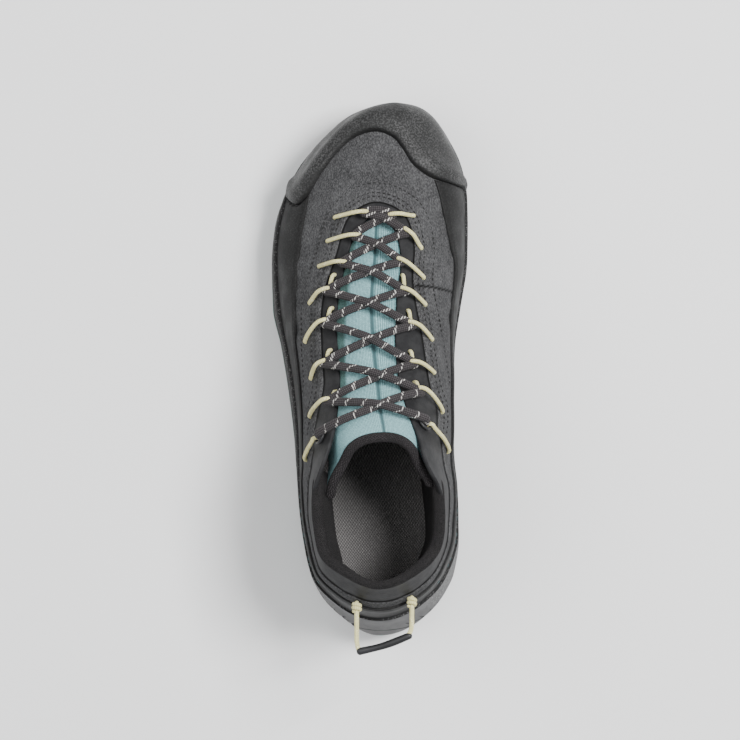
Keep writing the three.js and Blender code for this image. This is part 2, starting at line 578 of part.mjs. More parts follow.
/** One side of the sole body's ring at a station, from the ground up, for a growth. */
function soleWall(station, sideName, growth) {
  const low = side.teal(station);
  const high = soleTopAt(station) + WALL_TOP_OVER;
  const points = [solePointAt(station, sideName, -LUG_DEPTH, growth - UNDERCUT)];
  SOLE_LEVELS.forEach((rise) => {
    const z = low + (high - low) * rise;
    const foot = solePointAt(station, sideName, z, growth);
    const top = formPointAt(station, sideName, z, SOLE_WALL_FACE + growth);
    points.push(foot.lerp(top, Math.pow(rise, WALL_CURVE)).setZ(z));
  });
  return points;
}

/** The whole sole's body as a closed solid for a growth. */
function soleSolid(growth) {
  return sweep((share) => {
    const outer = soleWall(share, 'outer', growth);
    const inner = soleWall(share, 'inner', growth);
    return [...outer, ...inner.reverse()];
  }, STATIONS);
}

const soleBody = soleSolid(0);
const seat = lastSolid(OVERLAY_BACK, 0);
const BUMPER_BACK = 0.378 * LENGTH;
const BUMPER_SLANT = 0.6;

/** The space ahead of the toe bumper's slanted back edge, that edge set back by a gap. */
function aheadOfBumper(gap) {
  const back = BUMPER_BACK - gap;
  return sidePrism([
    [back - HEEL_STACK * BUMPER_SLANT, -HEEL_STACK],
    [LENGTH, -HEEL_STACK],
    [LENGTH, INSTEP_HEIGHT],
    [back + INSTEP_HEIGHT * BUMPER_SLANT, INSTEP_HEIGHT],
  ]);
}

// Outsole: a web with lugs under it, rising into the smooth toe bumper
const WEB_OVERLAP = 0.8;
const LUG_TURN = 0.3;
const LUGS_ACROSS = 4;
const LUG_FIELDS = [
  { first: 0.095, final: 0.27, rows: 4 },
  { first: -0.39, final: -0.235, rows: 4 },
];
const BRAKE_BACK = -0.182 * LENGTH;
const BRAKE_FRONT = -0.128 * LENGTH;

/** A block of the tread with its foot on the ground. */
function lugSolid(x, y, turn, length, width) {
  const height = side.web(soleStation(y)) + WEB_OVERLAP;
  const block = new THREE.BoxGeometry(width, length, height);
  block.rotateZ(turn);
  block.translate(x, y, height / 2);
  return solidOf(block);
}

const lugs = [];
LUG_FIELDS.forEach(({ first, final, rows }) => {
  for (let row = 0; row < rows; row += 1) {
    const y = LENGTH * THREE.MathUtils.lerp(first, final, row / (rows - 1));
    const station = soleStation(y);
    const left = sole.outer(station) + LUG_WIDTH / 3;
    const right = sole.inner(station) - LUG_WIDTH / 3;
    for (let k = 0; k < LUGS_ACROSS; k += 1) {
      const x = THREE.MathUtils.lerp(left, right, k / (LUGS_ACROSS - 1));
      lugs.push(lugSolid(x, y, (k % 2 ? 1 : -1) * LUG_TURN, LUG_LENGTH, LUG_WIDTH));
    }
  }
});
const brakeBar = sidePrism([
  [BRAKE_BACK, 0],
  [BRAKE_FRONT, 0],
  [BRAKE_FRONT + LUG_DEPTH / 2, HEEL_STACK],
  [BRAKE_BACK, HEEL_STACK],
]);
const underTeal = bandBetween(() => -HEEL_STACK, (station) => tealLowAt(station) - FIT);
const tread = wasm.Manifold.union([...lugs, brakeBar]).intersect(soleBody).intersect(underTeal);
const web = soleBody.intersect(bandBetween(side.web, (station) => tealLowAt(station) - FIT));
const bumper = soleBody.intersect(bandBetween(side.web, side.band)).intersect(aheadOfBumper(0));
const outsole = web.add(bumper).add(tread).subtract(seat);
addPiece('outsole', outsole, 0x2b2b2d, 0.8);

// Teal layer: the thin coloured line between outsole and midsole
const tealLayer = soleBody
  .intersect(bandBetween(tealLowAt, tealHighAt))
  .subtract(aheadOfBumper(FIT))
  .subtract(seat);
addPiece('teal_layer', tealLayer, 0x6cb2a3, 0.6);

// Heel wedge: soft grey foam under and around the heel, with slanted sipes cut in its side
const WEDGE_FRONT = -0.185 * LENGTH;
const SIPE_FIRST = 0.275;
const SIPE_FINAL = 0.03;
const SIPE_RISE = 11;
const SIPE_SLANT = 4;
const SIPE_MARGIN = 2.2;
const SIPE_REACH = 4 * SIPE_DEPTH;

/** A tapering slot in the sole's side wall at a station, leaning back as it rises. */
function sipeSolid(station, sideName) {
  const low = tealHighAt(station) + SIPE_MARGIN;
  const tall = Math.min(SIPE_RISE, side.wedge(station) - low - SIPE_MARGIN);
  const hand = sideName === 'outer' ? 1 : -1;
  const slot = new THREE.Shape([
    new THREE.Vector2((-hand * SIPE_WIDTH) / 2, 0),
    new THREE.Vector2((hand * SIPE_WIDTH) / 2, 0),
    new THREE.Vector2(hand * (SIPE_SLANT + SIPE_WIDTH / 5), tall),
    new THREE.Vector2(hand * (SIPE_SLANT - SIPE_WIDTH / 5), tall),
  ]);
  const geometry = new THREE.ExtrudeGeometry(slot, { depth: SIPE_REACH, bevelEnabled: false });
  const foot = solePointAt(station, sideName, low, -SIPE_DEPTH);
  const out = solePointAt(station, sideName, low, SIPE_DEPTH).sub(foot).normalize();
  const up = new THREE.Vector3(0, 0, 1);
  const around = new THREE.Vector3().crossVectors(up, out);
  geometry.applyMatrix4(new THREE.Matrix4().makeBasis(around, up, out));
  geometry.translate(foot.x, foot.y, foot.z);
  return solidOf(geometry);
}

const sipes = ['outer', 'inner'].flatMap((sideName) =>
  Array.from({ length: SIPE_COUNT }, (_, k) => {
    const along = THREE.MathUtils.lerp(SIPE_FIRST, SIPE_FINAL, k / (SIPE_COUNT - 1));
    return sipeSolid(stationOf(along), sideName);
  }),
);
const heelWedge = soleBody
  .intersect(bandBetween((station) => tealHighAt(station) + FIT, side.wedge, HEEL_Y, WEDGE_FRONT))
  .subtract(seat)
  .subtract(wasm.Manifold.union(sipes));
addPiece('heel_wedge', heelWedge, 0x6b6b6d, 0.85);

// Midsole: the dark band that cups the upper from the toe bumper to the heel wedge
const MIDSOLE_BACK = -0.345 * LENGTH;
const midsole = soleBody
  .intersect(
    bandBetween(
      (station) => Math.max(tealHighAt(station), side.wedge(station)) + FIT,
      side.band,
      MIDSOLE_BACK,
      -HEEL_Y,
    ),
  )
  .subtract(aheadOfBumper(FIT))
  .subtract(seat);
addPiece('midsole', midsole, 0x343436, 0.75);

// Insole: a foot bed lying inside the upper on the midsole
const insole = sweep((share) => {
  const low = last.floor(share) + FIT;
  const growth = LINING_FACE - 2 * FIT;
  const rise = (sideName) => [
    formPointAt(share, sideName, low, growth),
    formPointAt(share, sideName, low + INSOLE_THICKNESS, growth),
  ];
  return [...rise('outer'), ...rise('inner').reverse()];
}, STATIONS);
addPiece('insole', insole, 0x606062, 0.9);

// Toe cap and rand: overlays cut between two larger forms of the last
const aboveSole = (station) => soleTopAt(station) + FIT;
const toeCap = lastSolid(CAP_FACE, 0)
  .subtract(seat)
  .intersect(aheadOfCapEdge(0))
  .intersect(bandBetween(aboveSole, () => FAR));
addPiece('toe_cap', toeCap, 0x404042, 0.7);

// The rand climbs higher on the inner side of the forefoot
const INNER_RAND_BACK = 0.172 * LENGTH;
const innerForefoot = planPrism(
  [[0, INNER_RAND_BACK], [FAR, INNER_RAND_BACK], [FAR, LENGTH], [0, LENGTH]],
  -FAR / 10,
  FAR,
);
const randBand = bandBetween(aboveSole, sideOfUpper.rand)
  .add(bandBetween(aboveSole, sideOfUpper.innerRand).intersect(innerForefoot));
const rand = lastSolid(RAND_FACE, 0)
  .subtract(seat)
  .intersect(randBand)
  .subtract(aheadOfCapEdge(FIT));
addPiece('rand', rand, 0x3a3a3b, 0.6);

// Collar padding: a soft ring inside the collar, up to its edge
const PAD_FRONT = -0.2 * LENGTH;
const PAD_LOW = 0.64 * COLLAR_HEIGHT;
const padBack = LINING_FACE - FIT;
const collarPadding = lastSolid(padBack, 0)
  .subtract(lastSolid(padBack - PAD_THICKNESS, HEEL_STACK))
  .intersect(bandBetween(() => PAD_LOW, sideOfUpper.rim, HEEL_Y, PAD_FRONT));
addPiece('collar_padding', collarPadding, 0x2a282c, 0.95);

// Lacing: a row for each pair of cord loops, from the toe. Places are shares of LENGTH along and of
// BALL_WIDTH across; the foot is where the loop leaves the suede and the tie where the lace turns.
// The loops' outer feet are placed across and the inner feet by height, a share of INSTEP_HEIGHT.
const LACING = [
  { outerFootAlong: 0.282, outerFoot: -0.17, outerTieAlong: 0.287, outerTie: -0.033,
    innerFootAlong: 0.285, innerFoot: 0.585, innerTieAlong: 0.283, innerTie: 0.119 },
  { outerFootAlong: 0.238, outerFoot: -0.206, outerTieAlong: 0.244, outerTie: -0.074,
    innerFootAlong: 0.225, innerFoot: 0.61, innerTieAlong: 0.25, innerTie: 0.181 },
  { outerFootAlong: 0.191, outerFoot: -0.247, outerTieAlong: 0.193, outerTie: -0.13,
    innerFootAlong: 0.17, innerFoot: 0.645, innerTieAlong: 0.195, innerTie: 0.155 },
  { outerFootAlong: 0.123, outerFoot: -0.292, outerTieAlong: 0.141, outerTie: -0.2,
    innerFootAlong: 0.12, innerFoot: 0.68, innerTieAlong: 0.14, innerTie: 0.17 },
  { outerFootAlong: 0.052, outerFoot: -0.312, outerTieAlong: 0.081, outerTie: -0.21,
    innerFootAlong: 0.055, innerFoot: 0.72, innerTieAlong: 0.076, innerTie: 0.2 },
  { outerFootAlong: -0.016, outerFoot: -0.282, outerTieAlong: 0.009, outerTie: -0.206,
    innerFootAlong: -0.006, innerFoot: 0.77, innerTieAlong: 0.007, innerTie: 0.206 },
  { outerFootAlong: -0.086, outerFoot: -0.285, outerTieAlong: -0.065, outerTie: -0.186,
    innerFootAlong: -0.078, innerFoot: 0.81, innerTieAlong: -0.048, innerTie: 0.236 },
  { outerFootAlong: -0.165, outerFoot: -0.305, outerTieAlong: -0.122, outerTie: -0.235,
    innerFootAlong: -0.15, innerFoot: 0.81, innerTieAlong: -0.098, innerTie: 0.262 },
];
const LACE_LIFT = SUEDE_FACE + LACE_DIAMETER / 2 + 6 * FIT;
const LOOP_LIFT = SUEDE_FACE + LOOP_CORD_DIAMETER / 2 + 2 * FIT;
const LACE_SPAN_STEPS = 2;
const LACE_SIDES = 8;
const LOOP_SIDES = 8;
const LOOP_STEPS = 3;
const EYELET_RADIUS = 3.3;
const EYELET_WIRE = 0.8;

/** A point at a lift over the last's surface, above a place seen from above. */
function pointOver(x, y, lift) {
  return new THREE.Vector3(x, y, heightOver(x, y, lift));
}

/** Where the lace turns on one side of a row. */
function tiePlace(row, sideName) {
  return new THREE.Vector2(row[sideName + 'Tie'] * BALL_WIDTH, row[sideName + 'TieAlong'] * LENGTH);
}

/** A run of lace over the places where it turns, following the tongue between them. */
function laceRun(places) {
  const points = [];
  for (let i = 0; i < places.length - 1; i += 1) {
    for (let k = 0; k < LACE_SPAN_STEPS; k += 1) {
      const place = places[i].clone().lerp(places[i + 1], k / LACE_SPAN_STEPS);
      points.push(pointOver(place.x, place.y, LACE_LIFT));
    }
  }
  const end = places[places.length - 1];
  points.push(pointOver(end.x, end.y, LACE_LIFT));
  return cordSolid(points, LACE_DIAMETER, LACE_SIDES, points.length + 3);
}

/** The places of one strand, which changes side at each row. */
function strandPlaces(firstSide) {
  const otherSide = firstSide === 'outer' ? 'inner' : 'outer';
  const places = LACING.map((row, i) => tiePlace(row, i % 2 ? otherSide : firstSide));
  const [before, end] = places.slice(-2);
  const short = EYELET_RADIUS + EYELET_WIRE + LACE_DIAMETER / 2 + FIT;
  end.add(before.clone().sub(end).setLength(short));
  return places;
}

const frontBar = laceRun([tiePlace(LACING[0], 'outer'), tiePlace(LACING[0], 'inner')]);
const lace = laceRun(strandPlaces('outer')).add(laceRun(strandPlaces('inner'))).add(frontBar);
addPiece('lace', lace, 0x4a4548, 0.9);

['outer', 'inner'].forEach((sideName) => {
  LACING.forEach((row, i) => {
    const footY = row[sideName + 'FootAlong'] * LENGTH;
    const foot = sideName === 'outer'
      ? pointOver(row.outerFoot * BALL_WIDTH, footY, LOOP_LIFT)
      : formPointAt(stationOf((footY - LAST_HEEL_Y) / LAST_LENGTH), 'inner',
        row.innerFoot * INSTEP_HEIGHT, LOOP_LIFT);
    const tie = tiePlace(row, sideName);
    const isTop = i === LACING.length - 1;
    const clear = isTop ? EYELET_RADIUS + EYELET_WIRE + 2 * FIT : LACE_DIAMETER / 2 + 2 * FIT;
    const start = new THREE.Vector2(foot.x, foot.y);
    const end = tie.clone().add(start.clone().sub(tie).setLength(clear));
    const middle = start.clone().lerp(end, 0.5);
    const points = [
      foot,
      pointOver(middle.x, middle.y, LOOP_LIFT + FIT),
      pointOver(end.x, end.y, LOOP_LIFT + FIT),
    ];
    addPiece(
      `lace_loop_${sideName}_${i + 1}`,
      cordSolid(points, LOOP_CORD_DIAMETER, LOOP_SIDES, LOOP_STEPS),
      0xe6e0a8,
      0.7,
    );
  });

  // Top eyelet: a small ring lying on the ear of the upper
  const place = tiePlace(LACING[LACING.length - 1], sideName);
  const lift = EYELET_WIRE + 2 * FIT;
  const centre = pointOver(place.x, place.y, lift);
  const along = pointOver(place.x, place.y + 1, lift).sub(centre);
  const across = pointOver(place.x + 1, place.y, lift).sub(centre);
  const square = new THREE.Vector3().crossVectors(across, along).normalize();
  const ring = new THREE.TorusGeometry(EYELET_RADIUS, EYELET_WIRE, 6, 10);
  ring.applyQuaternion(
    new THREE.Quaternion().setFromUnitVectors(new THREE.Vector3(0, 0, 1), square),
  );
  ring.translate(centre.x, centre.y, centre.z);
  addPiece(`eyelet_${sideName}`, solidOf(ring), 0x1e1e20, 0.5);
});

// Pull loop: two short cords out of the heel and a sleeve over their bend
const PULL_HEIGHT = 0.82 * COLLAR_HEIGHT;
const PULL_OUTER = -0.065 * BALL_WIDTH;
const PULL_INNER = 0.205 * BALL_WIDTH;
const PULL_REACH = 25;
const PULL_RISE = 6;
const PULL_SKEW = 6;
const PULL_MIDDLE = last.centre(0);

/** The point where a pull cord leaves the suede of the heel. */
function pullFoot(x, sideName) {
  let station = 0;
  while (Math.abs(formPointAt(station, sideName, PULL_HEIGHT, SUEDE_FACE).x - PULL_MIDDLE)
    < Math.abs(x - PULL_MIDDLE)) {
    station += STATION_STEP * 10;
  }
  return formPointAt(station, sideName, PULL_HEIGHT, OVERLAY_BACK);
}
const outerPull = pullFoot(PULL_OUTER, 'outer');
const innerPull = pullFoot(PULL_INNER, 'inner');
const outerPullEnd = outerPull.clone().add(new THREE.Vector3(0, -PULL_REACH, PULL_RISE));
const innerPullEnd = innerPull.clone().add(new THREE.Vector3(0, -PULL_REACH + PULL_SKEW, PULL_RISE));
[['outer', outerPull, outerPullEnd], ['inner', innerPull, innerPullEnd]].forEach(
  ([sideName, start, end]) => {
    const stop = end.clone().lerp(start, (PULL_SLEEVE_DIAMETER / 2 + FIT) / start.distanceTo(end));
    addPiece(
      `pull_cord_${sideName}`,
      cordSolid([start, start.clone().lerp(stop, 0.5), stop], LOOP_CORD_DIAMETER, LOOP_SIDES, LOOP_STEPS),
      0xe6e0a8,
      0.7,
    );
  },
);
const pullBend = outerPullEnd.clone().lerp(innerPullEnd, 0.5).add(new THREE.Vector3(0, -1, 0));
addPiece(
  'pull_sleeve',
  cordSolid([outerPullEnd, pullBend, innerPullEnd], PULL_SLEEVE_DIAMETER, LACE_SIDES, 8),
  0x1c1c1e,
  0.6,
);

export default shoe;
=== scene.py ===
"""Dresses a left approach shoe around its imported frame: upper, lacing, sole and a pale studio.

Every surface of the upper is pressed onto one form, the last, and every layer of the sole stands on
one wall. Sizes are in millimetres and are turned into metres where a mesh is made.
"""

import logging
import math
from dataclasses import dataclass
from enum import Enum
from typing import Callable, NamedTuple, Sequence

import bmesh
import bpy
import numpy as np
from mathutils import Matrix, Vector, noise
from mathutils.bvhtree import BVHTree
from mathutils.interpolate import poly_3d_calc
from numpy.typing import ArrayLike

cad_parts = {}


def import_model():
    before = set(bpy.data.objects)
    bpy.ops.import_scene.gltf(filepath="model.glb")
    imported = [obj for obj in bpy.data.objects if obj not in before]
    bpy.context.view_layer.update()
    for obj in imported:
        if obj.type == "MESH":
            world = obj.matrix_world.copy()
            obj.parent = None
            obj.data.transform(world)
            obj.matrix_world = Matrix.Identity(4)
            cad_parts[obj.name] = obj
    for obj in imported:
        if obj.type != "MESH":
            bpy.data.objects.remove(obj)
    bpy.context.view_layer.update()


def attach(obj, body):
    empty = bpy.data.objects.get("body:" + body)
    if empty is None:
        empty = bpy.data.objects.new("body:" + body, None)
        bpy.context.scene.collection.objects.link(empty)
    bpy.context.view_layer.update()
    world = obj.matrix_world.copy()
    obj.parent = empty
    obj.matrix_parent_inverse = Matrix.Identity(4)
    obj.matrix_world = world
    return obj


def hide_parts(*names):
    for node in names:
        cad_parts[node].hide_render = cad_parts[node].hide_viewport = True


log = logging.getLogger("shoe")

MM = 0.001

Array = np.ndarray
Material = bpy.types.Material
Thing = bpy.types.Object
Socket = bpy.types.NodeSocket
Colour = tuple[float, float, float]
Curve = Callable[[ArrayLike], Array]
Input = float | tuple | Socket

# Driving sizes of the shoe
LENGTH = 270.0
BALL_WIDTH = 100.0
HEEL_STACK = 26.0
INSTEP_HEIGHT = 100.0
COLLAR_HEIGHT = 105.0
HEEL_LEAN = 24.0
HEEL_WALL = 4.0

# Faces of the layers, measured out from the last
SUEDE_STEP = 0.8
OVERLAY_BACK = 1.1
RAND_FACE = 2.2
SOLE_WALL_FACE = 3.4
CAP_FACE = 3.1
UPPER_WALL = 2.0
TONGUE_FACE = -2.3
TONGUE_THICKNESS = 3.0
INSOLE_THICKNESS = 4.5
TEAL_THICKNESS = 2.6
LUG_DEPTH = 4.6
WALL_TOP_OVER = 2.0
WALL_CURVE = 1.4
UNDERCUT = 1.2

# Cords
LACE_DIAMETER = 4.2
LOOP_DIAMETER = 2.3
SLEEVE_DIAMETER = 3.6

HEEL_Y = -LENGTH / 2
LAST_HEEL_Y = HEEL_Y + HEEL_WALL
LAST_LENGTH = LENGTH - HEEL_WALL - CAP_FACE
LEAN_END = 0.32
STATION_STEP = 1e-4


class Side(Enum):
    """The two sides of the shoe, by the sign of X."""

    OUTER = -1
    INNER = 1


class Fullness(Enum):
    """Which roundness columns of the last are read."""

    BODY = "full"
    TONGUE = "tongue"


class LastRow(NamedTuple):
    """One section of the last: shares of the ball width, the heel stack and the instep height."""

    along: float
    outer: float
    inner: float
    centre: float
    floor: float
    ridge: float
    outer_full: float
    inner_full: float
    outer_belly: float
    inner_belly: float
    outer_tongue: float
    inner_tongue: float


LAST = tuple(LastRow(*row) for row in (
    (0.0, 0.045, 0.045, 0.045, 1.0, 1.35, 2.5, 2.5, 0, 0, 2.5, 2.5),
    (0.008, -0.055, 0.145, 0.045, 1.0, 1.35, 3, 3, 0.005, 0.005, 2, 2),
    (0.03, -0.145, 0.235, 0.045, 1.0, 1.35, 3, 3, 0.015, 0.015, 2, 2),
    (0.08, -0.25, 0.345, 0.045, 1.0, 1.35, 2.9, 2.8, 0.02, 0.008, 1.8, 1.9),
    (0.175, -0.3, 0.408, 0.04, 1.0, 1.35, 2.6, 2.4, 0.02, 0.012, 1.7, 2),
    (0.28, -0.328, 0.395, 0.04, 0.98, 1.34, 2.6, 2.4, 0.01, 0.03, 1.7, 2),
    (0.325, -0.335, 0.388, 0.055, 0.96, 1.28, 2.55, 2.45, 0, 0.02, 1.75, 1.9),
    (0.375, -0.34, 0.382, 0.07, 0.93, 1.165, 2.5, 2.5, 0, 0.03, 2.2, 2.3),
    (0.425, -0.352, 0.38, 0.05, 0.88, 1.045, 2.3, 2.5, 0, 0.035, 2.3, 2.5),
    (0.475, -0.37, 0.38, 0.035, 0.81, 0.925, 2.25, 2.7, 0, 0.035, 2.25, 2.7),
    (0.54, -0.4, 0.392, 0.015, 0.7, 0.85, 2.15, 2.8, 0, 0.02, 2.15, 2.8),
    (0.62, -0.442, 0.428, 0.003, 0.57, 0.75, 1.9, 2.7, 0, 0, 1.9, 2.7),
    (0.72, -0.462, 0.462, 0.022, 0.53, 0.655, 1.8, 2.6, 0, 0, 1.8, 2.6),
    (0.82, -0.415, 0.463, 0.035, 0.6, 0.59, 1.85, 2.4, 0, 0, 1.85, 2.4),
    (0.88, -0.338, 0.437, 0.06, 0.67, 0.54, 2.2, 2.5, 0, 0, 2.2, 2.5),
    (0.94, -0.21, 0.368, 0.09, 0.74, 0.49, 2.5, 2.6, 0, 0, 2.5, 2.6),
    (0.983, -0.065, 0.285, 0.115, 0.79, 0.46, 2.6, 2.6, 0, 0, 2.6, 2.6),
    (0.995, 0.02, 0.23, 0.12, 0.81, 0.43, 2.6, 2.6, 0, 0, 2.6, 2.6),
    (1.0, 0.125, 0.125, 0.125, 0.82, 0.39, 2.6, 2.6, 0, 0, 2.6, 2.6),
))


class SoleRow(NamedTuple):
    """One place on the outline of the sole: along by the length, across by the ball width."""

    along: float
    outer: float
    inner: float


SOLE = tuple(SoleRow(*row) for row in (
    (0.0, 0.05, 0.05),
    (0.026, -0.109, 0.247),
    (0.0715, -0.236, 0.369),
    (0.117, -0.303, 0.43),
    (0.184, -0.343, 0.455),
    (0.275, -0.369, 0.438),
    (0.365, -0.384, 0.412),
    (0.456, -0.414, 0.412),
    (0.546, -0.455, 0.42),
    (0.614, -0.496, 0.455),
    (0.7, -0.502, 0.496),
    (0.77, -0.485, 0.5),
    (0.84, -0.42, 0.491),
    (0.885, -0.353, 0.465),
    (0.931, -0.24, 0.404),
    (0.976, -0.114, 0.313),
    (0.9945, 0.018, 0.242),
    (1.0, 0.125, 0.125),
))


class SideRow(NamedTuple):
    """Heights on the sole's side, by the heel stack; layer is a share of the teal layer."""

    along: float
    web: float
    teal: float
    layer: float
    wedge: float
    band: float


SIDE = tuple(SideRow(*row) for row in (
    (0.0, 0.66, 0.77, 0.8, 1.72, 1.7),
    (0.024, 0.42, 0.55, 0.9, 1.72, 1.7),
    (0.0556, 0.24, 0.38, 1, 1.7, 1.68),
    (0.093, 0.175, 0.27, 1, 1.66, 1.62),
    (0.14, 0.175, 0.255, 1, 1.57, 1.56),
    (0.174, 0.175, 0.255, 1, 1.44, 1.63),
    (0.215, 0.175, 0.255, 1, 1.23, 1.67),
    (0.274, 0.175, 0.265, 1, 0.94, 1.68),
    (0.309, 0.2, 0.45, 0.8, 0.74, 1.62),
    (0.339, 0.3, 0.69, 0.7, 0.6, 1.57),
    (0.363, 0.39, 0.755, 0.55, 0.55, 1.52),
    (0.385, 0.39, 0.742, 0.55, 0.5, 1.48),
    (0.45, 0.33, 0.607, 0.55, 0.4, 1.38),
    (0.51, 0.22, 0.488, 0.6, 0.3, 1.24),
    (0.555, 0.175, 0.39, 0.75, 0.2, 1.12),
    (0.6, 0.17, 0.304, 0.95, 0.2, 1.0),
    (0.65, 0.17, 0.285, 1, 0.2, 0.91),
    (0.7, 0.17, 0.292, 1, 0.2, 0.89),
    (0.77, 0.15, 0.373, 1, 0.2, 0.875),
    (0.82, 0.04, 0.45, 0.95, 0.2, 0.87),
    (0.883, 0.15, 0.546, 0.9, 0.3, 0.83),
    (0.93, 0.31, 0.62, 0.9, 0.3, 0.85),
    (0.976, 0.51, 0.68, 0.9, 0.3, 0.9),
    (1.0, 0.65, 0.72, 0.9, 0.3, 0.96),
))


class UpperRow(NamedTuple):
    """Heights on the upper's side: rand by the instep height, suede and rim by the collar's."""

    along: float
    rand: float
    inner_rand: float
    suede: float
    rim: float


UPPER_SIDE = tuple(UpperRow(*row) for row in (
    (0.0, 0.81, 0.81, 0.86, 1.0),
    (0.074, 0.81, 0.81, 0.85, 1.0),
    (0.115, 0.775, 0.775, 0.82, 0.985),
    (0.145, 0.755, 0.755, 0.8, 0.94),
    (0.175, 0.735, 0.735, 0.785, 0.89),
    (0.215, 0.705, 0.705, 0.78, 0.882),
    (0.28, 0.67, 0.67, 0.81, 0.92),
    (0.322, 0.64, 0.64, 0.84, 0.96),
    (0.367, 0.615, 0.615, 0.855, 1.015),
    (0.4, 0.585, 0.585, 0.865, 1.06),
    (0.47, 0.54, 0.54, 0.88, 1.1),
    (0.55, 0.5, 0.5, 0.9, 1.1),
    (0.61, 0.478, 0.478, 0.9, 1.1),
    (0.672, 0.45, 0.45, 0.9, 1.1),
    (0.755, 0.437, 0.484, 0.9, 1.1),
    (0.833, 0.417, 0.49, 0.9, 1.1),
    (1.0, 0.4, 0.46, 0.9, 1.1),
))


class LeanRow(NamedTuple):
    """How far the heel leans forward at a height."""

    height: float
    lean: float


LEAN = tuple(LeanRow(*row) for row in (
    (0.0, 0), (0.19, 0), (0.352, 0.25), (0.533, 0.44), (0.76, 0.56), (0.857, 0.71), (1.0, 1.0),
    (1.35, 1.35),
))


class Place(NamedTuple):
    """A place seen from above: across by the ball width, along by the length from the middle."""

    across: float
    along: float


SUEDE_EDGE = tuple(Place(*row) for row in (
    (-0.24, -0.3), (-0.28, -0.13), (-0.26, -0.08), (-0.232, -0.03), (-0.242, 0.04), (-0.24, 0.125),
    (-0.17, 0.215), (-0.105, 0.285), (0.025, 0.312), (0.17, 0.29), (0.222, 0.235), (0.216, 0.16),
    (0.262, 0.06), (0.3, -0.03), (0.335, -0.075), (0.31, -0.16), (0.25, -0.3),
))
CAP_EDGE = tuple(Place(*row) for row in (
    (-0.55, 0.332), (-0.42, 0.323), (-0.36, 0.306), (-0.315, 0.318), (-0.243, 0.361),
    (-0.157, 0.403), (-0.07, 0.431), (0.03, 0.442), (0.115, 0.43), (0.155, 0.412), (0.21, 0.38),
    (0.29, 0.358), (0.35, 0.35), (0.52, 0.335),
))


class ThroatRow(NamedTuple):
    """A place on the throat's edge, and the place along the shoe's foot that it is joined to."""

    across: float
    along: float
    foot_along: float


OUTER_THROAT = tuple(ThroatRow(*row) for row in (
    (-0.222, -0.155, -0.165), (-0.19, -0.118, -0.125), (-0.17, -0.07, -0.07), (-0.165, 0.03, 0.05),
    (-0.17, 0.11, 0.17), (-0.135, 0.185, 0.28), (-0.075, 0.253, 0.4), (-0.025, 0.275, 0.46),
))
INNER_THROAT = tuple(ThroatRow(*row) for row in (
    (0.268, -0.155, -0.165), (0.24, -0.118, -0.125), (0.195, -0.08, -0.08), (0.155, -0.035, -0.02),
    (0.13, 0.03, 0.06), (0.135, 0.13, 0.19), (0.155, 0.21, 0.3), (0.125, 0.258, 0.4),
    (0.075, 0.275, 0.46),
))
THROAT_APEX = ThroatRow(0.025, 0.282, 0.5)


class LaceRow(NamedTuple):
    """One row of the lacing on one side.

    The foot is where the loop leaves the suede: on the outer side it is placed across by the ball
    width, and on the inner side by its height, a share of the instep height. The tie is where the
    lace turns.
    """

    foot: float
    foot_along: float
    tie_across: float
    tie_along: float


OUTER_LACING = tuple(LaceRow(*row) for row in (
    (-0.17, 0.282, -0.033, 0.287), (-0.206, 0.238, -0.074, 0.244), (-0.247, 0.191, -0.13, 0.193),
    (-0.292, 0.123, -0.2, 0.141), (-0.312, 0.052, -0.21, 0.081), (-0.282, -0.016, -0.206, 0.009),
    (-0.285, -0.086, -0.186, -0.065), (-0.305, -0.165, -0.235, -0.122),
))
INNER_LACING = tuple(LaceRow(*row) for row in (
    (0.585, 0.285, 0.119, 0.283), (0.61, 0.225, 0.181, 0.25), (0.645, 0.17, 0.155, 0.195),
    (0.68, 0.12, 0.17, 0.14), (0.72, 0.055, 0.2, 0.076), (0.77, -0.006, 0.206, 0.007),
    (0.81, -0.078, 0.236, -0.048), (0.81, -0.15, 0.262, -0.098),
))


def bend(t: Array, span: Array, ends: tuple, slopes: tuple) -> Array:
    """A smooth step between two values that leaves and arrives at chosen slopes.

    Args:
        t: the share of the step.
        span: its length.
        ends: the two values.
        slopes: the slopes there.

    Returns:
        The values along the step.
    """
    rise = t * t * (3 - 2 * t)
    leaving, arriving = t * (1 - t) ** 2 * span, t * t * (t - 1) * span
    return ends[0] + (ends[1] - ends[0]) * rise + slopes[0] * leaving + slopes[1] * arriving


def curve_through(places: Sequence[float], values: Sequence[float]) -> Curve:
    """A smooth curve through rows of a table, which never overshoots them.

    Args:
        places: where the rows are, rising.
        values: what each row holds.

    Returns:
        A function that reads the curve at one place or at an array of them.
    """
    x, y = np.asarray(places, float), np.asarray(values, float)
    slopes = np.diff(y) / np.diff(x)
    total = slopes[:-1] + slopes[1:]
    product = slopes[:-1] * slopes[1:]
    inner = np.where(product > 0, 2 * product / np.where(total == 0, 1, total), 0)
    tangents = np.concatenate([slopes[:1], inner, slopes[-1:]])

    def read(place: ArrayLike) -> Array:
        """Reads the curve."""
        at = np.clip(place, x[0], x[-1])
        i = np.clip(np.searchsorted(x, at) - 1, 0, len(x) - 2)
        span = x[i + 1] - x[i]
        ends, slopes = (y[i], y[i + 1]), (tangents[i], tangents[i + 1])
        return bend((at - x[i]) / span, span, ends, slopes)

    return read


def station_of(along: ArrayLike) -> Array:
    """The station of a share of a length: even steps in it crowd together at heel and toe."""
    return np.arccos(np.clip(1 - 2 * np.asarray(along, float), -1, 1)) / math.pi


def along_of(station: ArrayLike) -> Array:
    """The share of the length of a station."""
    return 0.5 - 0.5 * np.cos(math.pi * np.asarray(station, float))


def sole_station(y: ArrayLike) -> Array:
    """The station of the sole at a place along the shoe."""
    return station_of((np.asarray(y, float) - HEEL_Y) / LENGTH)


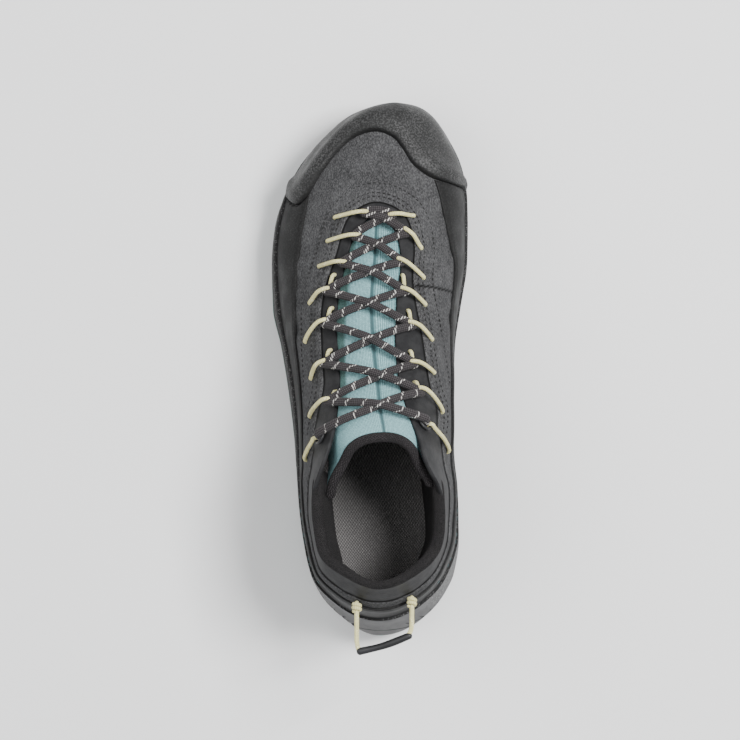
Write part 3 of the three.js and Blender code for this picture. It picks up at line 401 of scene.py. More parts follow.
def smooth(low: float, high: float, value: ArrayLike) -> Array:
    """A smooth step from 0 at low to 1 at high."""
    t = np.clip((np.asarray(value, float) - low) / (high - low), 0, 1)
    return t * t * (3 - 2 * t)


def columns_of(rows: Sequence[NamedTuple], scales: dict) -> dict:
    """One smooth curve for each scaled column of a table, all read at a station."""
    stations = [float(station_of(row.along)) for row in rows]
    return {
        name: curve_through(stations, [getattr(row, name) * scale for row in rows])
        for name, scale in scales.items()
    }


last = columns_of(LAST, {
    "outer": BALL_WIDTH, "inner": BALL_WIDTH, "centre": BALL_WIDTH, "floor": HEEL_STACK,
    "ridge": INSTEP_HEIGHT, "outer_full": 1, "inner_full": 1, "outer_belly": BALL_WIDTH,
    "inner_belly": BALL_WIDTH, "outer_tongue": 1, "inner_tongue": 1,
})
sole = columns_of(SOLE, {"outer": BALL_WIDTH, "inner": BALL_WIDTH})
side = columns_of(SIDE, {
    "web": HEEL_STACK, "teal": HEEL_STACK, "layer": TEAL_THICKNESS, "wedge": HEEL_STACK,
    "band": HEEL_STACK,
})
upper_side = columns_of(UPPER_SIDE, {
    "rand": INSTEP_HEIGHT, "inner_rand": INSTEP_HEIGHT, "suede": COLLAR_HEIGHT,
    "rim": COLLAR_HEIGHT,
})
lean_at = curve_through(
    [row.height * COLLAR_HEIGHT for row in LEAN], [row.lean * HEEL_LEAN for row in LEAN]
)


def lean_share(station: ArrayLike) -> Array:
    """How much of the heel's lean a station takes."""
    return 1 - smooth(0, LEAN_END, along_of(station))


def outline(columns: dict, side_of: Array, station: Array, start: float,
            length: float, growth: ArrayLike) -> tuple:
    """Points of an outline seen from above, moved out square to it.

    Args:
        columns: the curves of the outline's table.
        side_of: -1 on the outer side and 1 on the inner, for each point.
        station: the station of each point.
        start: where the outline starts along the shoe.
        length: how long it is.
        growth: how far out each point moves.

    Returns:
        The places across and along, as two arrays.
    """
    before, after = np.clip(station - STATION_STEP, 0, 1), np.clip(station + STATION_STEP, 0, 1)

    def read(at: Array) -> Array:
        """The outline's place across on each point's own side."""
        return np.where(side_of < 0, columns["outer"](at), columns["inner"](at))

    across = (read(after) - read(before)) / (after - before)
    forward = length * 0.5 * math.pi * np.sin(math.pi * station)
    size = np.hypot(across, forward)
    x = read(station) + side_of * forward * growth / size
    y = start + length * along_of(station) - side_of * across * growth / size
    return x, y


def form_points(station: ArrayLike, side_of: ArrayLike, rise: ArrayLike, growth: ArrayLike,
                fullness: Fullness = Fullness.BODY) -> Array:
    """Points of the last's surface.

    Args:
        station: the station of each point.
        side_of: -1 on the outer side and 1 on the inner.
        rise: the share of the height, from the floor to the ridge.
        growth: how far outside the last the surface lies.
        fullness: which roundness columns are read.

    Returns:
        One row of x, y and z for each point.
    """
    station, side_of, rise, growth = np.broadcast_arrays(
        *(np.asarray(value, float) for value in (station, side_of, rise, growth))
    )
    x_edge, y_edge = outline(last, side_of, station, LAST_HEEL_Y, LAST_LENGTH, growth)
    _, y_other = outline(last, -side_of, station, LAST_HEEL_Y, LAST_LENGTH, growth)
    y_ridge = (y_edge + y_other) / 2
    x_ridge = last["centre"](station)
    is_outer = side_of < 0
    outer_full, inner_full = last["outer_" + fullness.value], last["inner_" + fullness.value]
    full = np.where(is_outer, outer_full(station), inner_full(station))
    belly = np.where(is_outer, last["outer_belly"](station), last["inner_belly"](station))
    reach = np.clip(1 - np.clip(rise, 0, 1) ** full, 0, 1) ** (1 / full)
    floor = last["floor"](station)
    z = floor + (last["ridge"](station) + growth - floor) * rise
    x = x_ridge + (x_edge - x_ridge) * reach + side_of * belly * np.sin(math.pi * rise)
    y = y_ridge + (y_edge - y_ridge) * reach + lean_share(station) * lean_at(z)
    return np.stack([x, y, z], -1)


def sole_top(station: ArrayLike) -> Array:
    """The height where the sole's wall meets the rand."""
    return np.maximum(side["band"](station), side["wedge"](station))


def teal_low(station: ArrayLike) -> Array:
    """The lower line of the teal layer."""
    return side["teal"](station) - side["layer"](station) / 2


def teal_high(station: ArrayLike) -> Array:
    """The upper line of the teal layer."""
    return side["teal"](station) + side["layer"](station) / 2


def wall_points(station: ArrayLike, side_of: ArrayLike, z: ArrayLike,
                growth: ArrayLike) -> Array:
    """Points of the sole's side wall, which runs from its outline up onto the rand.

    Args:
        station: the station of each point.
        side_of: -1 on the outer side and 1 on the inner.
        z: the height of each point.
        growth: how far outside the wall each point lies.

    Returns:
        One row of x, y and z for each point.
    """
    station, side_of, z, growth = np.broadcast_arrays(
        *(np.asarray(value, float) for value in (station, side_of, z, growth))
    )
    low, high = side["teal"](station), sole_top(station) + WALL_TOP_OVER
    below = np.clip((low - z) / (low + LUG_DEPTH), 0, 1)
    x_foot, y_foot = outline(sole, side_of, station, HEEL_Y, LENGTH, growth - UNDERCUT * below)
    floor = last["floor"](station)
    face = SOLE_WALL_FACE + growth
    rise = np.clip((z - floor) / (last["ridge"](station) + face - floor), 0, 1)
    top = form_points(station, side_of, rise, face)
    lean = lean_share(station) * lean_at(z)
    top_y = top[..., 1] - lean_share(station) * lean_at(top[..., 2]) + lean
    share = np.clip((z - low) / (high - low), 0, 1) ** WALL_CURVE
    x = x_foot + (top[..., 0] - x_foot) * share
    y = (y_foot + lean) + (top_y - y_foot - lean) * share
    return np.stack([x, y, z], -1)


def directions(line: Array) -> Array:
    """The unit direction of a line at each of its points."""
    ways = np.gradient(line, axis=0)
    return ways / np.linalg.norm(ways, axis=1)[:, None]


def walked_along(line: Array) -> Array:
    """How far along a line each of its points is."""
    return np.concatenate([[0], np.cumsum(np.linalg.norm(np.diff(line, axis=0), axis=1))])


def smooth_line(places: Sequence, count: int) -> Array:
    """Points along a smooth open line through chosen places.

    Args:
        places: the chosen places, in two or three dimensions.
        count: how many points to give.

    Returns:
        The points, evenly spaced along the line.
    """
    knots = np.asarray(places, float)
    steps = np.concatenate([[0], np.cumsum(np.linalg.norm(np.diff(knots, axis=0), axis=1) ** 0.5)])
    tangents = np.gradient(knots, steps, axis=0, edge_order=1)
    fine = np.linspace(0, steps[-1], count * 6)
    i = np.clip(np.searchsorted(steps, fine) - 1, 0, len(steps) - 2)
    span = (steps[i + 1] - steps[i])[:, None]
    t = (fine - steps[i])[:, None] / span
    points = bend(t, span, (knots[i], knots[i + 1]), (tangents[i], tangents[i + 1]))
    walked = walked_along(points)
    even = np.linspace(0, walked[-1], count)
    return np.stack([np.interp(even, walked, column) for column in points.T], -1)


def distance_to(points: Array, line: Array, closed: bool = False) -> Array:
    """How far each point lies from a line of segments, in two or three dimensions."""
    ends = np.roll(line, -1, axis=0) if closed else line[1:]
    starts = line if closed else line[:-1]
    nearest = np.full(len(points), np.inf)
    for start, end in zip(starts, ends):
        along = end - start
        share = np.clip((points - start) @ along / max(along @ along, 1e-9), 0, 1)
        away = np.linalg.norm(points - start - share[:, None] * along, axis=1)
        nearest = np.minimum(nearest, away)
    return nearest


def inside(points: Array, loop: Array) -> Array:
    """Whether each point seen from above lies inside a closed loop."""
    x, y = points[:, 0], points[:, 1]
    within = np.zeros(len(points), bool)
    for start, end in zip(loop, np.roll(loop, -1, axis=0)):
        if start[1] == end[1]:
            continue
        crosses = (start[1] > y) != (end[1] > y)
        at = start[0] + (y - start[1]) * (end[0] - start[0]) / (end[1] - start[1])
        within ^= crosses & (x < at)
    return within


def in_sizes(places: Sequence[Place]) -> Array:
    """Chosen places in millimetres."""
    return np.array([[place.across * BALL_WIDTH, place.along * LENGTH] for place in places])


SUEDE_LOOP = smooth_line(in_sizes(SUEDE_EDGE), 120)
SUEDE_COLLAR_FRONT = -0.06 * LENGTH


def suede_distance(points: Array) -> Array:
    """How far each point lies inside the suede, negative on the smooth black panels."""
    plan = points[:, :2]
    from_edge = distance_to(plan, SUEDE_LOOP, closed=True)
    ahead = np.where(inside(plan, SUEDE_LOOP), -from_edge, from_edge)
    below = upper_side["suede"](sole_station(points[:, 1])) - points[:, 2]
    behind = points[:, 1] < SUEDE_COLLAR_FRONT
    return np.where(behind, np.minimum(ahead, below), ahead)


class Spine:
    """A line through the middle of the shoe, from which every ring around it is looked out."""

    heel = Vector((4.83, -90.0))
    toe = Vector((11.77, 88.0))
    heel_turn = 0.1
    toe_turn = 0.385

    @classmethod
    def look(cls, turn: float) -> tuple:
        """Where a ring's place is looked at from.

        Args:
            turn: the share of the way round, from the heel by the outer side and the toe.

        Returns:
            The foot of the look and its direction, seen from above.
        """
        turn %= 1.0
        hand = -1 if turn <= 0.5 else 1
        half = turn if turn <= 0.5 else 1 - turn
        if half < cls.heel_turn:
            angle = -math.pi / 2 * (1 - half / cls.heel_turn)
            return cls.heel, Vector((hand * math.cos(angle), math.sin(angle)))
        if half < cls.toe_turn:
            share = (half - cls.heel_turn) / (cls.toe_turn - cls.heel_turn)
            return cls.heel.lerp(cls.toe, share), Vector((hand, 0.0))
        angle = math.pi / 2 * (half - cls.toe_turn) / (0.5 - cls.toe_turn)
        return cls.toe, Vector((hand * math.cos(angle), math.sin(angle)))

    @classmethod
    def half_turn(cls, y: float) -> float:
        """The share of the way round of a place along the shoe, on the outer side."""
        if y <= cls.heel.y:
            reach = cls.heel.y - LAST_HEEL_Y
            return cls.heel_turn * (1 - math.asin(min(1.0, (cls.heel.y - y) / reach)) * 2 / math.pi)
        if y <= cls.toe.y:
            share = (y - cls.heel.y) / (cls.toe.y - cls.heel.y)
            return cls.heel_turn + share * (cls.toe_turn - cls.heel_turn)
        reach = LAST_HEEL_Y + LAST_LENGTH - cls.toe.y
        angle = math.asin(min(1.0, (y - cls.toe.y) / reach))
        return cls.toe_turn + angle / (math.pi / 2) * (0.5 - cls.toe_turn)


def turn_outwards(mesh: bmesh.types.BMesh, core: Vector) -> None:
    """Turns a mesh's faces away from a point inside it."""
    mesh.normal_update()
    away = sum(
        face.normal.dot(face.calc_center_median() - core) * face.calc_area() for face in mesh.faces
    )
    if away < 0:
        bmesh.ops.reverse_faces(mesh, faces=mesh.faces)
        mesh.normal_update()


class Form:
    """A fine net of the last's surface that points can be pressed onto."""

    stations = 260
    steps = 72
    weld = 0.004
    inside_place = Vector((5, 0, 40))
    sky = 400.0
    first_reach = 40.0
    core_height = 0.3

    def __init__(self) -> None:
        """Builds the net."""
        net = bmesh.new()
        bmesh.ops.create_grid(net, x_segments=self.stations, y_segments=2 * self.steps + 2, size=1)
        rows = np.array([vertex.co[:] for vertex in net.verts])
        station = (rows[:, 0] + 1) / 2
        level = np.round((rows[:, 1] + 1) / 2 * (2 * self.steps + 2)) - 1 - self.steps
        side_of = np.where(level <= 0, -1, 1)
        shown = np.clip(1 - np.abs(level) / self.steps, 0, 1)
        full = np.where(side_of < 0, last["outer_full"](station), last["inner_full"](station))
        rise = np.sin(math.pi / 2 * shown) ** (2 / full)
        places = form_points(station, side_of, rise, 0.0)
        places[:, 2] -= np.where(np.abs(level) > self.steps, HEEL_STACK, 0)
        for vertex, place in zip(net.verts, places):
            vertex.co = place
        bmesh.ops.remove_doubles(net, verts=net.verts, dist=self.weld)
        bmesh.ops.recalc_face_normals(net, faces=net.faces)
        turn_outwards(net, self.inside_place)
        net.faces.ensure_lookup_table()
        self.tree = BVHTree.FromBMesh(net)
        self.corners = [[vertex.co.copy() for vertex in face.verts] for face in net.faces]
        self.normals = [[vertex.normal.copy() for vertex in face.verts] for face in net.faces]
        net.free()

    def cast(self, start: Vector, way: Vector, growth: float = 0.0) -> tuple:
        """Where a look meets the form, moved out by a growth.

        Args:
            start: where the look starts.
            way: its direction.
            growth: how far outside the form the point lies.

        Returns:
            The point and the outward normal there, or None twice where it meets nothing.
        """
        place, _, index, _ = self.tree.ray_cast(start, way.normalized())
        if place is None:
            return None, None
        shares = poly_3d_calc(self.corners[index], place)
        normal = Vector()
        for share, corner in zip(shares, self.normals[index]):
            normal += corner * share
        normal.normalize()
        return place + normal * growth, normal

    def over(self, x: float, y: float, growth: float = 0.0) -> tuple:
        """The form's top above a place, and the normal there."""
        return self.cast(Vector((x, y, self.sky)), Vector((0, 0, -1)), growth)

    def ring(self, turn: float, height_at: Callable, growth: float = 0.0) -> tuple:
        """A place on a ring around the shoe whose height follows a line on its side.

        Args:
            turn: the share of the way round.
            height_at: the height for a place along the shoe.
            growth: how far outside the form the point lies.

        Returns:
            The point and the outward normal there.
        """
        foot, way = Spine.look(turn)
        y = foot.y + way.y * self.first_reach
        for _ in range(4):
            z = float(height_at(y))
            place, normal = self.cast(Vector((*foot, z)), Vector((*way, 0)), growth)
            if place is None:
                break
            y = place.y
        return place, normal

    def press(self, guess: Vector, growth: float = 0.0) -> tuple:
        """A guessed place moved straight out from the middle of the shoe onto the form."""
        y = min(max(guess.y, Spine.heel.y), Spine.toe.y)
        share = (y - Spine.heel.y) / (Spine.toe.y - Spine.heel.y)
        station = station_of((y - LAST_HEEL_Y) / LAST_LENGTH)
        floor, ridge = float(last["floor"](station)), float(last["ridge"](station))
        height = floor + self.core_height * (ridge - floor)
        core = Vector((*Spine.heel.lerp(Spine.toe, share), height))
        core.y = y
        place, normal = self.cast(core, guess - core, growth)
        if place is None:
            return guess.copy(), (guess - core).normalized()
        return place, normal


def rough(place: Sequence[float], size: float, seed: float = 0.0) -> float:
    """A smooth unevenness from -1 to 1 with bumps of a size in millimetres."""
    return noise.noise(Vector((place[0] / size + seed, place[1] / size, place[2] / size)))


class Piece:
    """A mesh built in millimetres and handed to the frame in metres."""

    weld = 0.003
    sliver = 1e-5

    def __init__(self, name: str) -> None:
        """Starts an empty piece with a plain name."""
        self.name = name
        self.mesh = bmesh.new()
        self.mesh.loops.layers.uv.new("UVMap")

    def grid(self, columns: int, rows: int, place: Callable, core: Vector | None = None,
             marks: Callable | None = None) -> None:
        """Adds a grid moved onto a surface.

        Args:
            columns: how many faces along the first way.
            rows: how many along the second.
            place: gives the points for arrays of u and v from 0 to 1.
            core: a point that the faces look away from; none leaves them as they come.
            marks: gives named values for arrays of u, v and points.
        """
        part = bmesh.new()
        part.loops.layers.uv.new("UVMap")
        bmesh.ops.create_grid(part, x_segments=columns, y_segments=rows, size=1, calc_uvs=True)
        corners = np.array([vertex.co[:] for vertex in part.verts])
        u, v = (corners[:, 0] + 1) / 2, (corners[:, 1] + 1) / 2
        points = np.asarray(place(u, v), float)
        named = marks(u, v, points) if marks else {}
        layers = {key: part.verts.layers.float.new(key) for key in named}
        for i, vertex in enumerate(part.verts):
            vertex.co = points[i]
            for key, layer in layers.items():
                vertex[layer] = float(named[key][i])
        bmesh.ops.remove_doubles(part, verts=part.verts, dist=self.weld)
        bmesh.ops.dissolve_degenerate(part, edges=part.edges, dist=self.sliver)
        if core is not None:
            turn_outwards(part, core)
        self.join(part)

    def join(self, part: bmesh.types.BMesh) -> None:
        """Adds another mesh to the piece and frees it."""
        holder = bpy.data.meshes.new("part")
        part.to_mesh(holder)
        part.free()
        self.mesh.from_mesh(holder)
        bpy.data.meshes.remove(holder)

    def tube(self, line: Array, radius: float, around: int = 12,
             ups: Array | None = None, taper: Callable | None = None) -> None:
        """Adds a round tube along a line, with closed rounded ends.

        Args:
            line: its middle line.
            radius: half its width.
            around: how many faces round it.
            ups: where the first face looks along the line; none lets it follow the bends.
            taper: gives a factor of the radius for the share along the line.
        """
        count = len(line)
        ways = directions(line)
        guide = np.array([0, 0, 1.0])
        up = np.empty_like(line)
        for i, way in enumerate(ways):
            guide = guide if ups is None else ups[i]
            guide = guide - way * (guide @ way)
            if np.linalg.norm(guide) < 1e-3:
                guide = np.cross(way, [1.0, 0, 0])
            guide = guide / np.linalg.norm(guide)
            up[i] = guide
        out = np.cross(ways, up)
        walked = walked_along(line)
        cap = radius * 0.8

        def place(u: Array, v: Array) -> Array:
            """Points of the tube, with one more row drawn together at each end."""
            row = np.round(v * (count + 1))
            i = np.clip(row.astype(int) - 1, 0, count - 1)
            is_end = (row < 0.5) | (row > count + 0.5)
            turn = 2 * math.pi * np.round(u * around) / around
            near = np.minimum(walked[i], walked[-1] - walked[i])
            size = radius * np.sqrt(np.clip(1 - (1 - np.clip(near / cap, 0, 1)) ** 2, 0.12, 1))
            if taper is not None:
                size = size * taper(walked[i] / walked[-1])
            size = np.where(is_end, 0, size)
            return (
                line[i] + up[i] * (np.cos(turn) * size)[:, None]
                + out[i] * (np.sin(turn) * size)[:, None]
            )

        def marks(u: Array, v: Array, points: Array) -> dict:
            """How far along the tube each point is, in millimetres."""
            i = np.clip(np.round(v * (count + 1)).astype(int) - 1, 0, count - 1)
            return {"run": walked[i]}

        before = len(self.mesh.faces)
        self.grid(around, count + 1, place, marks=marks)
        self.mesh.faces.ensure_lookup_table()
        fresh = [self.mesh.faces[i] for i in range(before, len(self.mesh.faces))]
        bmesh.ops.recalc_face_normals(self.mesh, faces=fresh)

    def finish(self, material: Material, slot: str,
               stands_for: Sequence[str] = ()) -> Thing:
        """Makes the object in metres, dresses it and puts it on the frame.

        Args:
            material: its finish.
            slot: the name of a material slot; not used.
            stands_for: the frame's nodes that it replaces.

        Returns:
            The finished object.
        """
        bmesh.ops.scale(self.mesh, vec=(MM, MM, MM), verts=self.mesh.verts)
        data = bpy.data.meshes.new(self.name)
        self.mesh.to_mesh(data)
        self.mesh.free()
        data.shade_smooth()
        data.materials.append(material)
        thing = bpy.data.objects.new(self.name, data)
        bpy.context.scene.collection.objects.link(thing)
        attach(thing, "root")
        if stands_for:
            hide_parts(*stands_for)
        log.info("%s: %d faces", self.name, len(data.polygons))
        return thing


class Shader:
    """Wires the nodes of one material."""

    def __init__(self, name: str, roughness: float, **values: float) -> None:
        """Starts a material.

        Args:
            name: its plain name.
            roughness: its roughness where nothing varies it.
            **values: constant values of the surface's sockets, by name with underscores.
        """
        self.material = bpy.data.materials.new(name)
        self.material.use_nodes = True
        self.tree = self.material.node_tree
        self.surface = self.tree.nodes["Principled BSDF"]
        self.surface.inputs["Roughness"].default_value = roughness
        for key, value in values.items():
            self.surface.inputs[key.replace("_", " ")].default_value = value
        self.coordinates = self.tree.nodes.new("ShaderNodeTexCoord")

    def add(self, kind: str, inputs: dict, **settings) -> bpy.types.Node:
        """Adds a node.

        Args:
            kind: its type name without the prefix.
            inputs: a value or a socket for each input, by name or number.
            **settings: its other properties.

        Returns:
            The new node.
        """
        node = self.tree.nodes.new("ShaderNode" + kind)
        for key, value in settings.items():
            setattr(node, key, value)
        for key, value in inputs.items():
            if isinstance(value, Socket):
                self.tree.links.new(value, node.inputs[key])
            else:
                node.inputs[key].default_value = value
        return node

    def noise(self, size: float, detail: float = 2.0,
              stretch: tuple = (1, 1, 1)) -> Socket:
        """Soft noise with bumps of a size in millimetres, drawn out along an axis."""
        place = self.coordinates.outputs["Object"]
        where = self.add("Mapping", {"Vector": place, "Scale": stretch})
        node = self.add(
            "TexNoise", {"Vector": where.outputs[0], "Scale": 1 / (size * MM), "Detail": detail}
        )
        return node.outputs["Fac"]

    def cells(self, size: float, feature: str = "F1") -> bpy.types.Node:
        """Cells of a size in millimetres."""
        return self.add(
            "TexVoronoi", {"Vector": self.coordinates.outputs["Object"], "Scale": 1 / (size * MM)},
            feature=feature,
        )

    def mark(self, name: str) -> Socket:
        """A named value that the mesh carries."""
        return self.add("Attribute", {}, attribute_name=name).outputs["Fac"]

    def count(self, operation: str, first: Input, second: Input = 0.0) -> Socket:
        """One arithmetic step on a value or two."""
        return self.add("Math", {0: first, 1: second}, operation=operation).outputs[0]

    def times(self, first: Input, second: Input) -> Socket:
        """The product of two values."""
        return self.count("MULTIPLY", first, second)

    def plus(self, first: Input, second: Input) -> Socket:
        """The sum of two values."""
        return self.count("ADD", first, second)

    def minus(self, first: Input, second: Input) -> Socket:
        """The difference of two values."""
        return self.count("SUBTRACT", first, second)

    def sine(self, value: Input) -> Socket:
        """The sine of a value."""
        return self.count("SINE", value)

    def ramp(self, value: Input, low: float, high: float, start: float = 0.0,
             end: float = 1.0) -> Socket:
        """A value led smoothly from one range into another."""
        node = self.add("MapRange", {
            "Value": value, "From Min": low, "From Max": high, "To Min": start, "To Max": end,
        }, interpolation_type="SMOOTHSTEP")
        return node.outputs[0]

    def mix(self, factor: Input, first: Input, second: Input) -> Socket:
        """A mix of two colours or sockets."""
        node = self.add("Mix", {}, data_type="RGBA")
        for name, value in (("Factor", factor), ("A", first), ("B", second)):
            kind = "VALUE" if name == "Factor" else "RGBA"
            socket = next(s for s in node.inputs if s.name == name and s.type == kind)
            if isinstance(value, Socket):
                self.tree.links.new(value, socket)
            else:
                socket.default_value = value if kind == "VALUE" else (*value, 1.0)
        return next(s for s in node.outputs if s.type == "RGBA")

    def bump(self, height: Input, depth: float,
             normal: Socket | None = None) -> Socket:
        """A bump of a depth in millimetres over an earlier normal."""
        inputs = {"Height": height, "Distance": depth * MM, "Strength": 1.0}
        if normal is not None:
            inputs["Normal"] = normal
        return self.add("Bump", inputs).outputs[0]

    def wire(self, colour: Socket, roughness: Socket | None,
             normal: Socket) -> Material:
        """Joins what varies to the surface and gives the material."""
        for name, socket in (("Base Color", colour), ("Roughness", roughness), ("Normal", normal)):
            if socket is not None:
                self.tree.links.new(socket, self.surface.inputs[name])
        return self.material


def grey(value: float) -> Colour:
    """A neutral colour of one brightness."""
    return value, value, value


@dataclass(frozen=True)
class Suede:
    """Brushed grey suede, with smooth black panels where the mesh is marked so, and painted shadow
    on the panels along the suede's edge.
    """

    nap: Colour = (0.092, 0.092, 0.094)
    shade: Colour = (0.022, 0.022, 0.023)
    rubbed: Colour = (0.115, 0.115, 0.118)
    panel: Colour = (0.016, 0.016, 0.017)
    panel_light: Colour = (0.026, 0.026, 0.027)
    # near black: the dark seam line, and the painted shadow on the panels just outside the suede's
    # edge
    gap: Colour = grey(0.003)

    def material(self) -> Material:
        """The finish as a material."""
        shader = Shader(
            "suede_and_panels", 0.9, Sheen_Weight=0.02, Sheen_Roughness=0.5, Specular_IOR_Level=0.08
        )
        depth = shader.mark("suede")
        is_suede = shader.ramp(depth, -0.12, 0.12)
        fibre = shader.ramp(shader.noise(0.6, 4, (1, 0.55, 1)), 0.34, 0.66)
        patch = shader.ramp(shader.noise(2.6, 4, (1, 0.6, 1)), 0.3, 0.7)
        cloud = shader.ramp(shader.noise(13, 4), 0.3, 0.7)
        tone = shader.times(fibre, 0.62)
        tone = shader.plus(tone, shader.times(patch, 0.16))
        tone = shader.plus(tone, shader.times(cloud, 0.22))
        nap = shader.mix(tone, self.shade, self.nap)
        nap = shader.mix(shader.times(shader.mark("worn"), fibre), nap, self.rubbed)
        nap = shader.mix(shader.mark("seam"), nap, self.gap)
        film = shader.mix(shader.ramp(shader.noise(5, 3), 0.3, 0.7), self.panel, self.panel_light)
        # painted shadow: the panels darken to near black just outside the suede's raised edge
        film = shader.mix(shader.ramp(depth, -1.3, -0.5), film, self.gap)
        colour = shader.mix(is_suede, film, nap)
        roughness = shader.ramp(is_suede, 0, 1, 0.55, 0.95)
        weave = shader.bump(shader.times(tone, is_suede), 0.5)
        pebble = shader.cells(0.9).outputs["Distance"]
        grain = shader.times(pebble, shader.minus(1.0, is_suede))
        return shader.wire(colour, roughness, shader.bump(grain, 0.05, weave))


@dataclass(frozen=True)
class Rubber:
    """Matt rubber with a fine grain, paler where it is scuffed, and darkened with painted shade
    where the mesh marks an edge.
    """

    name: str
    colour: Colour
    scuffed: Colour
    grain: float
    depth: float
    roughness: float = 0.6
    shine: float = 0.35
    # near-black colour of the painted shade along a marked edge
    painted_edge_shade: Colour = grey(0.006)

    def material(self) -> Material:
        """The finish as a material."""
        shader = Shader(self.name, self.roughness, Specular_IOR_Level=self.shine)
        cloud = shader.ramp(shader.noise(14, 5), 0.35, 0.75)
        fine = shader.noise(self.grain * 1.6, 4)
        speck = shader.ramp(fine, 0.42, 0.66)
        half = shader.plus(shader.times(cloud, 0.5), 0.5)
        tone = shader.times(half, speck)
        colour = shader.mix(tone, self.colour, self.scuffed)
        # painted shade: darker towards the marked edge, standing in for the shade at the toe cap's
        # raised back edge
        colour = shader.mix(shader.mark("edge"), colour, self.painted_edge_shade)
        roughness = shader.ramp(cloud, 0, 1, self.roughness + 0.06, self.roughness - 0.06)
        pebble = shader.cells(self.grain, "SMOOTH_F1").outputs["Distance"]
        normal = shader.bump(pebble, self.depth, shader.bump(fine, self.depth))
        return shader.wire(colour, roughness, normal)


@dataclass(frozen=True)
class Speckled:
    """Black rubbery foam with pale dots in it."""

    colour: Colour = grey(0.010)
    dot: Colour = grey(0.085)
    spacing: float = 0.9

    def material(self) -> Material:
        """The finish as a material."""
        shader = Shader("speckled_midsole", 0.62, Specular_IOR_Level=0.2)
        cells = shader.cells(self.spacing)
        dot = shader.ramp(cells.outputs["Distance"], 0.42, 0.26)
        some = shader.ramp(shader.noise(1.8, 2), 0.42, 0.56)
        colour = shader.mix(shader.times(dot, some), self.colour, self.dot)
        normal = shader.bump(cells.outputs["Distance"], 0.25)
        return shader.wire(colour, None, shader.bump(shader.noise(0.6, 3), 0.08, normal))


@dataclass(frozen=True)
class Foam:
    """Moulded foam with a faint skin."""

    name: str
    colour: Colour
    shade: Colour
    roughness: float = 0.7

    def material(self) -> Material:
        """The finish as a material."""
        shader = Shader(self.name, self.roughness, Specular_IOR_Level=0.3)
        cloud = shader.ramp(shader.noise(6, 4), 0.3, 0.7)
        colour = shader.mix(cloud, self.shade, self.colour)
        return shader.wire(colour, None, shader.bump(shader.noise(0.5, 3), 0.08))


@dataclass(frozen=True)
class Knit:
    """Knitted or woven cloth whose rows follow the piece's own map."""

    name: str
    thread: Colour
    gap: Colour
    columns: float
    rows: float
    depth: float = 0.25
    stagger: bool = True

    def material(self) -> Material:
        """The finish as a material."""
        shader = Shader(
            self.name, 0.92, Sheen_Weight=0.02, Sheen_Roughness=0.6, Specular_IOR_Level=0.15
        )
        split = shader.add("SeparateXYZ", {0: shader.coordinates.outputs["UV"]})
        u = shader.times(split.outputs[0], self.columns * 2 * math.pi)
        v = shader.times(split.outputs[1], self.rows * 2 * math.pi)
        if self.stagger:
            u = shader.plus(u, shader.times(shader.sine(shader.times(v, 0.5)), 1.2))
        stitch = shader.times(shader.sine(u), shader.sine(v))
        height = shader.ramp(stitch, -0.7, 0.7)
        fuzz = shader.noise(0.5, 3)
        cloud = shader.ramp(shader.noise(12, 3), 0.3, 0.7, 0.75, 1.0)
        lit = shader.times(height, cloud)
        tone = shader.times(lit, shader.ramp(fuzz, 0.2, 0.7))
        colour = shader.mix(tone, self.gap, self.thread)
        normal = shader.bump(height, self.depth, shader.bump(fuzz, 0.12))
        return shader.wire(colour, None, normal)


@dataclass(frozen=True)
class Braid:
    """A braided cord, with pale flecks where a tracer thread comes up."""

    name: str
    thread: Colour
    shade: Colour
    fleck: Colour
    flecks: float
    pitch: float
    strands: float = 6
    tracer: float = 8.5

    def material(self) -> Material:
        """The finish as a material."""
        shader = Shader(
            self.name, 0.85, Sheen_Weight=0.03, Sheen_Roughness=0.5, Specular_IOR_Level=0.2
        )
        split = shader.add("SeparateXYZ", {0: shader.coordinates.outputs["UV"]})
        turn = shader.times(split.outputs[0], self.strands * 2 * math.pi)
        run = shader.times(shader.mark("run"), 2 * math.pi / self.pitch)
        left = shader.sine(shader.plus(turn, run))
        right = shader.sine(shader.minus(turn, run))
        height = shader.ramp(shader.times(left, right), -0.8, 0.8)
        worn = shader.ramp(shader.noise(3.0, 3), 0.3, 0.7, 0.7, 1.0)
        colour = shader.mix(shader.times(height, worn), self.shade, self.thread)
        spiral = shader.plus(
            shader.times(split.outputs[0], 2 * math.pi),
            shader.times(shader.mark("run"), 2 * math.pi / self.tracer),
        )
        spiral = shader.plus(spiral, shader.times(shader.noise(6.0, 2), 5.0))
        tracer = shader.ramp(shader.sine(spiral), 1 - self.flecks, 1 - self.flecks * 0.4)
        dash = shader.times(shader.mark("run"), 2 * math.pi / (self.pitch * 0.62))
        tracer = shader.times(tracer, shader.ramp(shader.sine(dash), -0.1, 0.35))
        colour = shader.mix(tracer, colour, self.fleck)
        normal = shader.bump(height, 0.35, shader.bump(shader.noise(0.35, 3), 0.08))
        return shader.wire(colour, None, normal)


def loop_finish(name: str) -> Material:
    """Pale yellow braided cord."""
    braid = Braid(
        name, thread=(0.92, 0.87, 0.47), shade=(0.62, 0.57, 0.26), fleck=(0.95, 0.92, 0.64),
        flecks=0.08, pitch=1.5, strands=5,
    )
    return braid.material()


